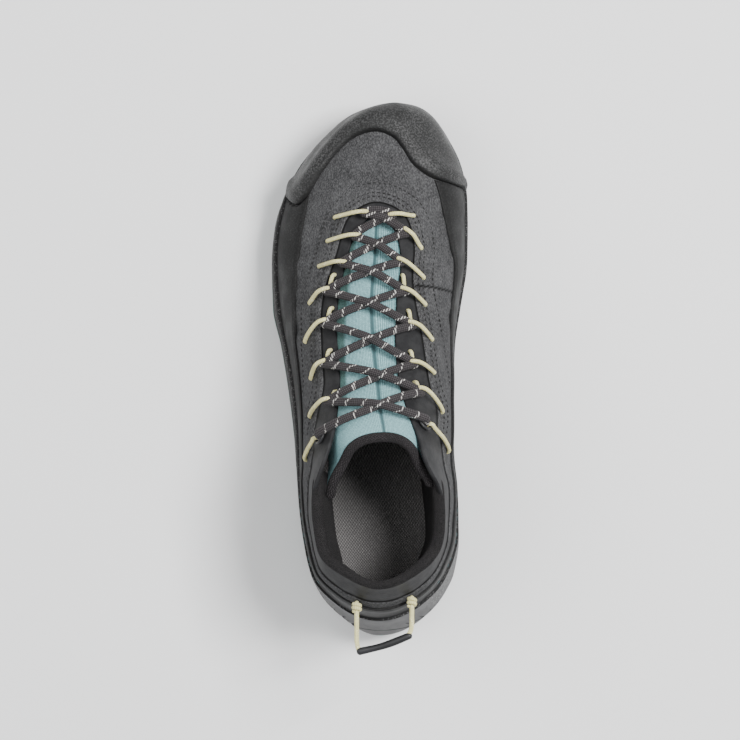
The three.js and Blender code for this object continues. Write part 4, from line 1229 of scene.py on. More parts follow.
@dataclass(frozen=True)
class AirMesh:
    """Teal air mesh, darker on its flanks with darker netting and painted shade, with a dark line
    of painted shade down the crease of its middle seam.
    """

    thread: Colour = (0.32, 0.58, 0.61)
    gap: Colour = (0.05, 0.15, 0.165)
    # darker netting of the flanks, darkened further as painted shade where the tongue's sides curve
    # down
    net_and_shade_thread: Colour = (0.07, 0.17, 0.155)
    net_and_shade_gap: Colour = (0.006, 0.02, 0.018)
    # colour of the painted shade in the crease down the middle seam
    seam: Colour = (0.04, 0.11, 0.12)
    columns: float = 48
    rows: float = 104

    def material(self) -> Material:
        """The finish as a material."""
        shader = Shader("teal_mesh", 0.85, Sheen_Weight=0.1, Sheen_Roughness=0.5)
        split = shader.add("SeparateXYZ", {0: shader.coordinates.outputs["UV"]})
        u = shader.times(split.outputs[0], self.columns * 2 * math.pi)
        v = shader.times(split.outputs[1], self.rows * 2 * math.pi)
        left = shader.sine(shader.plus(u, v))
        right = shader.sine(shader.minus(u, v))
        thread = shader.ramp(shader.times(left, right), -0.75, 0.2)
        fuzz = shader.ramp(shader.noise(0.7, 3), 0.25, 0.7)
        tone = shader.times(thread, shader.plus(shader.times(fuzz, 0.5), 0.5))
        colour = shader.mix(tone, self.gap, self.thread)
        net = shader.mix(tone, self.net_and_shade_gap, self.net_and_shade_thread)
        # flanks: partly the netting's own darker colour, partly painted shade where the tongue's
        # sides curve down
        colour = shader.mix(shader.mark("flank"), colour, net)
        # painted shade: a dark line in the crease down the middle seam
        seam = shader.ramp(shader.mark("seam"), 0.55, 0.2)
        colour = shader.mix(seam, colour, self.seam)
        return shader.wire(colour, None, shader.bump(thread, 0.3))


@dataclass(frozen=True)
class HeelFoam:
    """Grey moulded foam, dotted like a knit above its slots, with painted shade in the slots."""

    colour: Colour = (0.118, 0.118, 0.119)
    shade: Colour = (0.088, 0.088, 0.089)
    dot: Colour = grey(0.24)
    # near-black colour of the painted shade inside the slots
    slot: Colour = grey(0.012)
    spacing: float = 1.25

    def material(self) -> Material:
        """The finish as a material."""
        shader = Shader("grey_foam", 0.72, Specular_IOR_Level=0.35)
        knit = shader.mark("knit")
        cloud = shader.ramp(shader.noise(6, 4), 0.3, 0.7)
        colour = shader.mix(cloud, self.shade, self.colour)
        dot = shader.ramp(shader.cells(self.spacing).outputs["Distance"], 0.5, 0.2)
        colour = shader.mix(shader.times(dot, knit), colour, self.dot)
        # painted shade: the slots are coloured near black, standing in for the shade inside them
        colour = shader.mix(shader.mark("slot"), colour, self.slot)
        normal = shader.bump(shader.times(dot, knit), 0.3)
        return shader.wire(colour, None, shader.bump(shader.noise(0.5, 3), 0.08, normal))


@dataclass
class UpperShell:
    """The suede and smooth black upper as one hollow wall."""

    form: Form
    columns: int = 520
    rows: int = 84
    inside_place: tuple = (5, 0, 45)
    foot_height: float = 30.0
    foot_lift: float = 2.5
    collar_turns: tuple = (0.0, 0.02, 0.04, 0.06, 0.08, 0.1, 0.118, 0.136)

    def opening(self) -> tuple:
        """The opening's edge and the foot line it is joined to, right round the shoe.

        Returns:
            The place of each point round the shoe, the edge's points and the foot's turns.
        """
        edge: list[Vector] = []
        turns: list[float] = []

        def collar(turn: float) -> None:
            """Adds a point of the collar's rim."""
            place, _ = self.form.ring(turn, lambda y: upper_side["rim"](sole_station(y)))
            edge.append(place)
            turns.append(turn)

        def throat(row: ThroatRow, hand: Side) -> None:
            """Adds a point of the throat's edge."""
            place, _ = self.form.over(row.across * BALL_WIDTH, row.along * LENGTH)
            half = Spine.half_turn(row.foot_along * LENGTH)
            edge.append(place)
            turns.append(half if hand is Side.OUTER else 1 - half)

        for turn in self.collar_turns:
            collar(turn)
        for row in OUTER_THROAT:
            throat(row, Side.OUTER)
        throat(THROAT_APEX, Side.OUTER)
        for row in reversed(INNER_THROAT):
            throat(row, Side.INNER)
        for turn in reversed(self.collar_turns[1:]):
            collar(1 - turn)
        collar(0.0)
        turns[-1] = 1.0
        points = np.array([place[:] for place in edge])
        foot = np.array([self.form.ring(turn, lambda _: self.foot_height)[0][:] for turn in turns])
        steps = 0.5 * np.linalg.norm(np.diff(points, axis=0), axis=1)
        steps += 0.5 * np.linalg.norm(np.diff(foot, axis=0), axis=1)
        share = np.concatenate([[0], np.cumsum(steps)])
        return share / share[-1], points, np.array(turns)

    def places(self) -> Callable:
        """Gives the points of the shell's outer face for arrays of u and v."""
        share, points, turns = self.opening()
        edge_at = [self._round_trip(share, column) for column in points.T]
        turn_at = curve_through(share, turns)

        def floor_at(y: float) -> float:
            """The height of the shell's foot."""
            return last["floor"](station_of((y - LAST_HEEL_Y) / LAST_LENGTH)) + self.foot_lift

        def place(u: Array, v: Array) -> Array:
            """Points of the outer face, from the foot at 0 to the opening at 1."""
            columns = np.round(u, 9)
            feet, tops = {}, {}
            for column in np.unique(columns):
                feet[column] = self.form.ring(float(turn_at(column)), floor_at)[0]
                tops[column] = Vector([float(read(column)) for read in edge_at])
            out = np.empty((len(u), 3))
            normals = np.empty((len(u), 3))
            for i, (at, rise) in enumerate(zip(columns, v)):
                spot, normal = self.form.press(feet[at].lerp(tops[at], rise))
                out[i], normals[i] = spot[:], normal[:]
            growth = SUEDE_STEP * smooth(-0.5, 0.5, suede_distance(out))
            growth = growth + self.relief(out)
            return out + normals * growth[:, None]

        return place

    @staticmethod
    def _round_trip(share: Array, values: Array) -> Curve:
        """A smooth closed curve through one coordinate of a loop."""
        wide_share = np.concatenate([share[-4:-1] - 1, share, share[1:4] + 1])
        wide = np.concatenate([values[-4:-1], values, values[1:4]])
        slopes = np.gradient(wide, wide_share)

        def read(at: float) -> float:
            """Reads the curve."""
            i = int(np.clip(np.searchsorted(wide_share, at) - 1, 0, len(wide) - 2))
            span = wide_share[i + 1] - wide_share[i]
            t = (at - wide_share[i]) / span
            return bend(t, span, (wide[i], wide[i + 1]), (slopes[i], slopes[i + 1]))

        return read

    @staticmethod
    def relief(points: Array) -> Array:
        """Soft creases, dents and seams, in millimetres out from the form."""
        height = np.array([0.35 * rough(place, 26) + 0.16 * rough(place, 9, 4) for place in points])
        for crease in CREASES:
            line = np.array([crease.start, crease.end], float)
            away = distance_to(points[:, :2], line) / crease.width
            height -= crease.depth * np.exp(-(away ** 2))
            height += 0.5 * crease.depth * np.exp(-((away - 2) ** 2))
        seam = distance_to(points[:, :2], QUARTER_SEAM)
        height += 0.35 * np.exp(-((seam / 1.6) ** 2)) - 0.5 * np.exp(-((seam / 0.8) ** 2))
        return height

    @staticmethod
    def marks(u: Array, v: Array, points: Array) -> dict:
        """The values that the upper's finish reads."""
        suede = suede_distance(points)
        worn = np.exp(-((suede - 0.5) / 0.6) ** 2) * 0.5
        seam = distance_to(points[:, :2], QUARTER_SEAM)
        return {"suede": suede, "worn": worn, "seam": smooth(0.75, 0.3, seam)}

    def build(self) -> Thing:
        """Makes the shell with its wall."""
        piece = Piece("upper_shell")
        piece.grid(
            self.columns, self.rows, self.places(), core=Vector(self.inside_place), marks=self.marks
        )
        thing = piece.finish(Suede().material(), "upper", ["upper"])
        wall = thing.modifiers.new("wall", "SOLIDIFY")
        wall.thickness = (UPPER_WALL - 0.1) * MM
        wall.offset = -1
        return thing


class Crease(NamedTuple):
    """A soft trough seen from above, in millimetres."""

    start: tuple
    end: tuple
    depth: float
    width: float


CREASES = tuple(Crease(*row) for row in (
    ((-34, 58), (-18, 74), 0.7, 3.2), ((-36, 44), (-27, 58), 0.6, 3.0),
    ((34, 78), (24, 90), 0.5, 2.6), ((38, 60), (28, 66), 0.5, 3.0),
    ((-12, 96), (16, 100), 0.45, 3.4), ((-37, 20), (-30, 26), 0.5, 3.0),
    ((38, 26), (32, 20), 0.5, 3.0),
))
QUARTER_SEAM = np.array([[22.0, 42.0], [31.0, 41.5], [40.0, 39.5], [44.0, 38.0]])


@dataclass
class CollarLining:
    """The knitted roll round the collar and the padding inside it."""

    form: Form
    columns: int = 200
    rows: int = 76
    outer_front: float = 0.176
    inner_front: float = 0.824
    heel_slimming: float = 0.25
    end_drop: float = 4.0
    end_depth: float = 2.6
    unevenness: float = 0.18

    # how far below the rim and how far out from the last each line of the roll lies
    profile: tuple = (
        (2.2, -0.9), (0.8, -0.2), (-0.5, 0.2), (-1.5, -0.3), (-2.1, -1.4), (-2.2, -2.8),
        (-1.2, -4.6), (1.2, -6.0), (5.0, -7.0), (10.0, -7.7), (17.0, -8.3), (25.0, -9.0),
        (34.0, -9.9), (44.0, -10.9), (54.0, -12.0), (64.0, -13.2), (71.0, -14.5),
    )

    def place(self, u: Array, v: Array) -> Array:
        """Points of the lining for arrays of u and v."""
        lines = np.array(self.profile)
        share = np.linspace(0, 1, len(lines))
        drop_at, growth_at = curve_through(share, lines[:, 0]), curve_through(share, lines[:, 1])
        out = np.empty((len(u), 3))
        start, end = self.inner_front - 1, self.outer_front
        for i, (along, across) in enumerate(zip(u, v)):
            turn = start + (end - start) * along
            fade = float(smooth(0, 0.06, along) * smooth(1, 0.94, along))
            drop = float(drop_at(across)) * fade + self.end_drop * (1 - fade)
            slimmer = 1 - self.heel_slimming * float(smooth(0.1, 0.03, abs(turn)))
            growth = float(growth_at(across)) * slimmer * fade - self.end_depth * (1 - fade)
            spot, normal = self.form.ring(
                turn, lambda y: upper_side["rim"](sole_station(y)) - max(drop, 0)
            )
            way = Vector((normal.x, normal.y, normal.z * 0.3)).normalized()
            spot = spot + way * growth
            spot.z += max(-drop, 0)
            out[i] = spot[:]
            out[i] += np.array(way[:]) * self.unevenness * rough(out[i], 7, 2)
        return out

    def build(self) -> Thing:
        """Makes the lining."""
        piece = Piece("collar_lining")
        piece.grid(self.columns, self.rows, self.place)
        bmesh.ops.recalc_face_normals(piece.mesh, faces=piece.mesh.faces)
        top = max(piece.mesh.faces, key=lambda face: face.calc_center_median().z)
        if top.normal.z < 0:
            bmesh.ops.reverse_faces(piece.mesh, faces=piece.mesh.faces)
        finish = Knit(
            "black_knit", thread=(0.060, 0.055, 0.057), gap=grey(0.002), columns=150, rows=70,
            depth=0.45,
        )
        thing = piece.finish(finish.material(), "collar_padding", ["collar_padding"])
        return thing


@dataclass
class Overlays:
    """The rubber toe cap with its raised edge, and the smooth rand round the foot."""

    form: Form
    cap_columns: int = 260
    cap_rows: int = 60
    cap_core: tuple = (8, 70, 20)
    cap_tuck: float = 1.0
    bead: float = 7.5
    bead_height: float = 1.5
    roll: float = 4.8
    rand_columns: int = 460
    rand_rows: int = 50
    rand_core: tuple = (5, 0, 30)
    rand_tuck: float = 1.5
    rand_face_end: float = 0.96
    rand_edge: float = 0.3
    outer_under_cap: float = 8.0
    inner_under_cap: float = 14.0

    def cap_edge(self) -> Array:
        """The cap's back edge on the form, from the outer foot to the inner."""
        plan = smooth_line(in_sizes(CAP_EDGE), 160)
        points = []
        for x, y in plan:
            place, normal = self.form.over(x, y)
            if place is not None and normal.z > 0.12:
                points.append(place)
        for hand in Side:
            is_outer = hand is Side.OUTER
            y = plan[0 if is_outer else -1][1]
            half = Spine.half_turn(y)
            turn = half if is_outer else 1 - half
            top = points[0 if is_outer else -1][2]
            foot = float(sole_top(sole_station(y)))
            down = [
                self.form.ring(turn, lambda _, z=z: z)[0]
                for z in np.linspace(foot - 1, top - 2, 6)
            ]
            points = down + points if is_outer else points + down[::-1]
        return smooth_line(points, 200)

    def cap_place(self, u: Array, v: Array) -> Array:
        """Points of the toe cap for arrays of u and v."""
        edge = self.cap_edge()
        walked = np.linspace(0, 1, len(edge))
        first = Spine.half_turn(float(edge[0][1]))
        final = 1 - Spine.half_turn(float(edge[-1][1]))
        out = np.empty((len(u), 3))
        feet = {}
        for i, (along, across) in enumerate(zip(np.round(u, 9), v)):
            top = Vector([float(np.interp(along, walked, column)) for column in edge.T])
            if along not in feet:
                spread = first + (final - first) * along
                feet[along] = self.form.ring(
                    spread, lambda y: sole_top(sole_station(y)) - self.cap_tuck
                )[0]
            spot, normal = self.form.press(top.lerp(feet[along], across))
            away = (spot - top).length
            roll = self.bead_height * math.exp(-(((away - self.bead) / self.roll) ** 2))
            rise = float(smooth(0, 1.8, away))
            growth = OVERLAY_BACK + (CAP_FACE - OVERLAY_BACK) * rise + roll * rise
            growth += 0.2 * rough(spot, 13, 7)
            growth *= float(smooth(-0.001, 0.02, across))
            out[i] = (spot + normal * growth)[:]
        return out

    def cap_marks(self, u: Array, v: Array, points: Array) -> dict:
        """How much painted shade darkens the cap towards its back edge, where it meets the suede.
        """
        away = distance_to(points, self.cap_edge()[::3])
        return {"edge": smooth(6.0, 1.6, away)}

    def cap(self) -> Thing:
        """Makes the toe cap."""
        piece = Piece("toe_cap_rubber")
        piece.grid(
            self.cap_columns, self.cap_rows, self.cap_place, core=Vector(self.cap_core),
            marks=self.cap_marks,
        )
        finish = Rubber(
            "cap_rubber", grey(0.012), grey(0.062), grain=0.55, depth=0.2, roughness=0.5, shine=0.25
        )
        return piece.finish(finish.material(), "toe_cap", ["toe_cap"])

    def rand_line(self, turn: float, share: float) -> Callable:
        """A line round the rand: its height, by the place along the shoe.

        Args:
            turn: the share of the way round, below 0 on the inner side.
            share: the share of the rand's height.

        Returns:
            A function that gives the height.
        """
        top = upper_side["inner_rand" if turn < 0 else "rand"]

        def height(y: float) -> float:
            """The line's height at a place along the shoe."""
            station = sole_station(y)
            low = float(sole_top(station)) - self.rand_tuck
            return low + (float(top(station)) - low) * share

        return height

    def rand_place(self, u: Array, v: Array) -> Array:
        """Points of the rand for arrays of u and v."""
        edge = self.cap_edge()
        first = Spine.half_turn(float(edge[0][1]) + self.outer_under_cap)
        final = 1 - Spine.half_turn(float(edge[-1][1]) + self.inner_under_cap)
        plan = smooth_line(in_sizes(CAP_EDGE), 160)
        face_end = self.rand_face_end
        out = np.empty((len(u), 3))
        for i, (along, across) in enumerate(zip(u, v)):
            turn = (final - 1) + (first - final + 1) * along
            spot, normal = self.form.ring(turn, self.rand_line(turn, min(across / face_end, 1)))
            if across > face_end:
                growth = RAND_FACE * (1 - (across - face_end) / (1 - face_end)) + self.rand_edge
            else:
                growth = RAND_FACE - 0.45 * float(smooth(0.86, face_end, across))
            growth += 0.18 * rough(spot, 22, 11)
            under_cap = spot.y - float(np.interp(spot.x, plan[:, 0], plan[:, 1]))
            growth -= (RAND_FACE - self.rand_edge) * float(smooth(-0.8, 0.4, under_cap))
            out[i] = (spot + normal * growth)[:]
        return out

    def rand(self) -> Thing:
        """Makes the rand."""
        piece = Piece("rand_film")
        piece.grid(
            self.rand_columns, self.rand_rows, self.rand_place, core=Vector(self.rand_core)
        )
        finish = Rubber(
            "rand_rubber", grey(0.014), grey(0.027), grain=0.6, depth=0.03, roughness=0.5,
            shine=0.05,
        )
        return piece.finish(finish.material(), "rand", ["rand"])


class Vent(NamedTuple):
    """One perforation of the rand, by its place along the shoe and its height, in millimetres."""

    along: float
    height: float


VENTS = tuple(Vent(*row) for row in (
    (-63.5, 48.3), (-70.5, 52.9), (-74.7, 49.8), (-82.2, 54.9), (-85.8, 50.9), (-93.9, 57.0),
    (-97.0, 52.4), (-104.6, 59.0),
))


@dataclass
class Vents:
    """The slanted perforations of the rand on both sides of the heel, teal inside."""

    form: Form
    length: float = 5.4
    width: float = 2.6
    thickness: float = 0.22
    slant: tuple = (0, 0.5, 1.0)

    def build(self) -> list:
        """Makes the rims, near black with painted shade round each hole, and the teal insides."""
        made = []
        for name, grow, lift, colour in (
            # painted shade: a near-black ring round each vent stands in for the shade of the hole's
            # walls
            ("vent_shade_rims", 1.0, 0.0, grey(0.006)),
            ("vent_slots", 0.68, 0.14, (0.035, 0.10, 0.105)),
        ):
            piece = Piece(name)
            for hand in Side:
                for vent in VENTS:
                    self.slot(piece, hand, vent, grow, lift)
            finish = Foam(name, colour, tuple(value * 0.7 for value in colour), 0.6)
            made.append(piece.finish(finish.material(), "rand"))
        return made

    def slot(self, piece: Piece, hand: Side, vent: Vent, grow: float, lift: float) -> None:
        """Adds one flat oval lying on the rand.

        Args:
            piece: what it is added to.
            hand: its side of the shoe.
            vent: its place.
            grow: a factor of its size.
            lift: how far over the rand it lies.
        """
        start = Vector((Spine.heel.x, vent.along, vent.height))
        place, normal = self.form.cast(start, Vector((hand.value, 0, 0)), RAND_FACE + lift)
        if place is None:
            return
        up = Vector(self.slant)
        up = (up - normal * up.dot(normal)).normalized()
        aside = normal.cross(up)
        basis = Matrix((
            up * self.length / 2 * grow, aside * self.width / 2 * grow, normal * self.thickness,
        )).transposed().to_4x4()
        basis.translation = place
        bmesh.ops.create_uvsphere(piece.mesh, u_segments=14, v_segments=8, radius=1, matrix=basis)


@dataclass
class Tongue:
    """The mesh tongue with its knitted rim."""

    form: Form
    top: float = 1.15 * INSTEP_HEIGHT
    tip: float = -0.119 * LENGTH
    slant: float = 0.72
    front: float = 0.325 * LENGTH
    half_wrap: float = 0.53
    columns: int = 120
    rows: int = 190
    inside_place: tuple = (5, -10, 40)
    seam_depth: float = 0.55
    quilt_height: float = 0.54
    rim_radius: float = 2.5

    def point(self, station: ArrayLike, across: Array, growth: ArrayLike) -> Array:
        """Points of the tongue's surface, across from -1 on the outer edge to 1 on the inner."""
        side_of = np.where(across < 0, -1.0, 1.0)
        shown = 1 - np.abs(across) * self.half_wrap
        full = np.where(side_of < 0, last["outer_tongue"](station), last["inner_tongue"](station))
        rise = np.sin(math.pi / 2 * shown) ** (2 / full)
        return form_points(station, side_of, rise, growth, Fullness.TONGUE)

    def rim_station(self, across: Array) -> Array:
        """The station where the slanted top edge lies."""
        low = np.full(across.shape, float(station_of(0.2)))
        high = np.full(across.shape, float(station_of(0.5)))
        for _ in range(26):
            middle = (low + high) / 2
            place = self.point(middle, across, TONGUE_FACE)
            over = place[..., 2] > self.top + (place[..., 1] - self.tip) * self.slant
            low, high = np.where(over, middle, low), np.where(over, high, middle)
        return (low + high) / 2

    def place(self, u: Array, v: Array) -> Array:
        """Points of the tongue for arrays of u and v."""
        across = 2 * u - 1
        start = station_of((self.front - LAST_HEEL_Y) / LAST_LENGTH)
        station = start + (self.rim_station(across) - start) * v
        points = self.point(station, across, TONGUE_FACE)
        seam = self.seam_depth * np.exp(-((across / 0.03) ** 2))
        uneven = np.array([0.35 * rough(spot, 16, 5) for spot in points])
        quilt = np.sin(np.clip(np.abs(across) * 1.6, 0, 1) * math.pi) * smooth(0.99, 0.9, v)
        growth = TONGUE_FACE + uneven - seam + self.quilt_height * quilt
        return self.point(station, across, growth)

    @staticmethod
    def marks(u: Array, v: Array, points: Array) -> dict:
        """How far the middle seam is, and where the flanks darken: partly a darker netting, partly
        painted shade where the sides curve down.
        """
        across = np.abs(2 * u - 1)
        flank = smooth(0, 0.07, across - 0.2 - 0.25 * v) * smooth(0.93, 0.75, v)
        return {"seam": across * 25, "flank": flank}

    def build(self) -> list:
        """Makes the tongue and its rim."""
        piece = Piece("tongue_mesh")
        piece.grid(
            self.columns, self.rows, self.place, core=Vector(self.inside_place), marks=self.marks
        )
        thing = piece.finish(AirMesh().material(), "tongue", ["tongue"])
        wall = thing.modifiers.new("wall", "SOLIDIFY")
        wall.thickness = (TONGUE_THICKNESS - 0.2) * MM
        wall.offset = -1
        across = np.linspace(-1, 1, self.columns)
        station = self.rim_station(across)
        middle = TONGUE_FACE - TONGUE_THICKNESS / 2
        line = self.point(station, across, middle)
        back = self.point(station + 0.004, across, middle)
        ups = line - back
        ups /= np.linalg.norm(ups, axis=1)[:, None]
        rim = Piece("tongue_rim")
        rim.tube(line, self.rim_radius, 16, ups)
        knit = Knit(
            "tongue_rim_knit", thread=(0.062, 0.054, 0.058), gap=grey(0.003), columns=12, rows=90,
            depth=0.45,
        )
        roll = rim.finish(knit.material(), "tongue")
        return [thing, roll]


@dataclass
class Lacing:
    """The braided lace, the cord loops that hold it and the rings at its top."""

    form: Form
    lift: float = SUEDE_STEP + LACE_DIAMETER / 2 + 1.2
    cross_lift: float = 1.15
    ring_radius: float = 3.3
    ring_wire: float = 0.8
    ring_faces: tuple = (10, 60)
    arch: float = 1.7
    sag: float = 0.4
    tie_dip: float = 0.3
    tails: tuple = (0, 0, 0, 8.5, 8.0, 6.5, 6.0, 0)

    def tie(self, row: LaceRow) -> tuple:
        """Where the lace turns, seen from above."""
        return row.tie_across * BALL_WIDTH, row.tie_along * LENGTH

    def over(self, x: float, y: float, lift: float) -> Vector:
        """A point at a lift over the form."""
        return self.form.over(x, y, lift)[0]

    def span(self, start: tuple, end: tuple, above: int) -> list:
        """Points of one run of lace from tie to tie.

        Args:
            start: where it starts, seen from above.
            end: where it ends.
            above: 1 where it crosses over the other strand, -1 where under, 0 where alone.

        Returns:
            Its points between the two ties.
        """
        points = []
        for share in (0.08, 0.2, 0.35, 0.5, 0.65, 0.8, 0.92):
            x = start[0] + (end[0] - start[0]) * share
            y = start[1] + (end[1] - start[1]) * share + self.arch * math.sin(math.pi * share)
            hump = above * self.cross_lift * math.exp(-(((share - 0.5) / 0.2) ** 2))
            sag = self.sag * math.sin(math.pi * share)
            points.append(self.over(x, y, self.lift + hump + sag))
        return points

    def line(self) -> Array:
        """The lace's middle line, from one top eyelet through every row to the other."""
        outer = [self.tie(row) for row in OUTER_LACING]
        inner = [self.tie(row) for row in INNER_LACING]
        count = len(outer)
        first = [(outer if i % 2 == 0 else inner)[i] for i in range(count)]
        second = [(inner if i % 2 == 0 else outer)[i] for i in range(count)]
        points: list[Vector] = []
        points += self.dive(first[-1], first[-2])
        for i in range(count - 1, 0, -1):
            above = 1 if i % 2 else -1
            points += self.span(first[i], first[i - 1], above)
            points.append(self.over(*first[i - 1], self.lift - self.tie_dip))
        points += self.span(first[0], second[0], 0)
        points.append(self.over(*second[0], self.lift - self.tie_dip))
        for i in range(count - 1):
            above = -1 if (i + 1) % 2 else 1
            points += self.span(second[i], second[i + 1], above)
            if i + 1 < count - 1:
                points.append(self.over(*second[i + 1], self.lift - self.tie_dip))
        points += self.dive(second[-1], second[-2])[::-1]
        return smooth_line(points, 900)

    def dive(self, ring: tuple, before: tuple) -> list:
        """Points where the lace's end goes down through a ring."""
        x, y = ring
        onward = x + (before[0] - x) * 0.03, y + (before[1] - y) * 0.03
        return [self.over(x, y, -1.5), self.over(x, y, 1.0), self.over(*onward, self.lift)]

    def foot(self, row: LaceRow, hand: Side) -> Vector:
        """Where a loop leaves the suede, on the form."""
        y = row.foot_along * LENGTH
        if hand is Side.OUTER:
            return self.over(row.foot * BALL_WIDTH, y, 0)
        station = station_of((y - LAST_HEEL_Y) / LAST_LENGTH)
        floor, ridge = last["floor"](station), last["ridge"](station)
        rise = (row.foot * INSTEP_HEIGHT - floor) / (ridge - floor)
        return Vector(form_points(station, hand.value, rise, 0.0))

    def loop_line(self, row: LaceRow, hand: Side, is_top: bool, tail: float) -> Array:
        """The middle line of one cord loop, out round the lace and back.

        Args:
            row: its row of the lacing.
            hand: its side of the shoe.
            is_top: whether it holds a ring instead of the lace.
            tail: how far its second leg shows towards the toe; 0 hides it under the first.

        Returns:
            Points along its middle.
        """
        foot, tie = self.foot(row, hand), self.over(*self.tie(row), 0)
        way = (tie - foot).normalized()
        if is_top:
            tie = tie - way * (self.ring_radius + 0.3)
        radius = 2.1 if is_top else (LACE_DIAMETER + LOOP_DIAMETER) / 2 + 0.1
        middle = self.ring_wire + 0.6 if is_top else self.lift - self.tie_dip
        top, low = middle + radius * 0.92, max(middle - radius * 0.92, LOOP_DIAMETER / 2 - 0.7)
        length = (tie - foot).length
        cord = LOOP_DIAMETER / 2

        def at(walked: float, lift: float, ahead: float = 0.0) -> Vector:
            """A point over the form, by how far it lies from the foot and how far ahead."""
            spot, normal = self.form.press(foot + way * walked + Vector((0, ahead, 0)))
            return spot + normal * lift

        points = [
            at(-0.6, -2.0), at(0.0, SUEDE_STEP + cord * 0.4), at(1.8, SUEDE_STEP + cord + 0.2),
            at(length * 0.5, (SUEDE_STEP + cord + top) / 2), at(length - radius * 0.75, top - 0.4),
            at(length, top), at(length + radius * 0.72, middle + radius * 0.6),
            at(length + radius, middle), at(length + radius * 0.72, middle - radius * 0.55),
        ]
        if tail > 0:
            points += [
                at(length + 0.4, low, 1.2), at(length + 0.2, cord + 0.3, tail * 0.5),
                at(length + 0.4, cord + 0.1, tail), at(length + 0.4, -2.0, tail + 1.2),
            ]
        else:
            points += [
                at(length + 0.5, low - 0.2), at(length + 0.3, -1.2), at(length + 0.2, -2.8),
            ]
        return smooth_line(points, 72)

    def build(self) -> list:
        """Makes the lace, its loops and the rings."""
        lace = Piece("lace_braid")
        lace.tube(self.line(), LACE_DIAMETER / 2, 14)
        braid = Braid(
            "lace_weave", thread=(0.060, 0.054, 0.056), shade=(0.016, 0.014, 0.015),
            fleck=(0.55, 0.53, 0.5), flecks=0.14, pitch=1.9,
        )
        made = [lace.finish(braid.material(), "lace", ["lace"])]
        loops = Piece("lace_loop_cords")
        names = []
        for hand, rows in zip(Side, (OUTER_LACING, INNER_LACING)):
            for i, (row, tail) in enumerate(zip(rows, self.tails)):
                line = self.loop_line(row, hand, row is rows[-1], tail)
                loops.tube(line, LOOP_DIAMETER / 2 * 0.92, 10)
                names.append(f"lace_loop_{hand.name.lower()}_{i + 1}")
        made.append(loops.finish(loop_finish("loop_cord"), "lace_loops", names))
        for hand, rows in zip(Side, (OUTER_LACING, INNER_LACING)):
            made.append(self.ring(hand.name.lower(), rows[-1]))
        return made

    def ring(self, name: str, row: LaceRow) -> Thing:
        """Makes one ring lying on the ear of the upper."""
        x, y = self.tie(row)
        centre, normal = self.form.over(x, y, self.ring_wire + 0.6)
        spin = Vector((0, 0, 1)).rotation_difference(normal).to_matrix()
        around, along = self.ring_faces
        line = []
        for i in range(along + 1):
            turn = 2 * math.pi * i / along
            arm = spin @ Vector((math.cos(turn), math.sin(turn), 0)) * self.ring_radius
            line.append((centre + arm)[:])
        part = Piece(f"eyelet_ring_{name}")
        points = np.array(line)

        def place(u: Array, v: Array) -> Array:
            """Points of the ring's wire for arrays of u and v."""
            i = np.round(v * along).astype(int)
            out = points[i] - np.array(centre[:])
            out /= np.linalg.norm(out, axis=1)[:, None]
            turn = 2 * math.pi * u
            return (
                points[i] + out * (np.cos(turn) * self.ring_wire)[:, None]
                + np.array(normal[:]) * (np.sin(turn) * self.ring_wire)[:, None]
            )

        part.grid(around, along, place)
        bmesh.ops.recalc_face_normals(part.mesh, faces=part.mesh.faces)
        finish = Foam("black_plastic", (0.022, 0.022, 0.024), (0.014, 0.014, 0.015), roughness=0.35)
        return part.finish(finish.material(), "eyelets", [f"eyelet_{name}"])


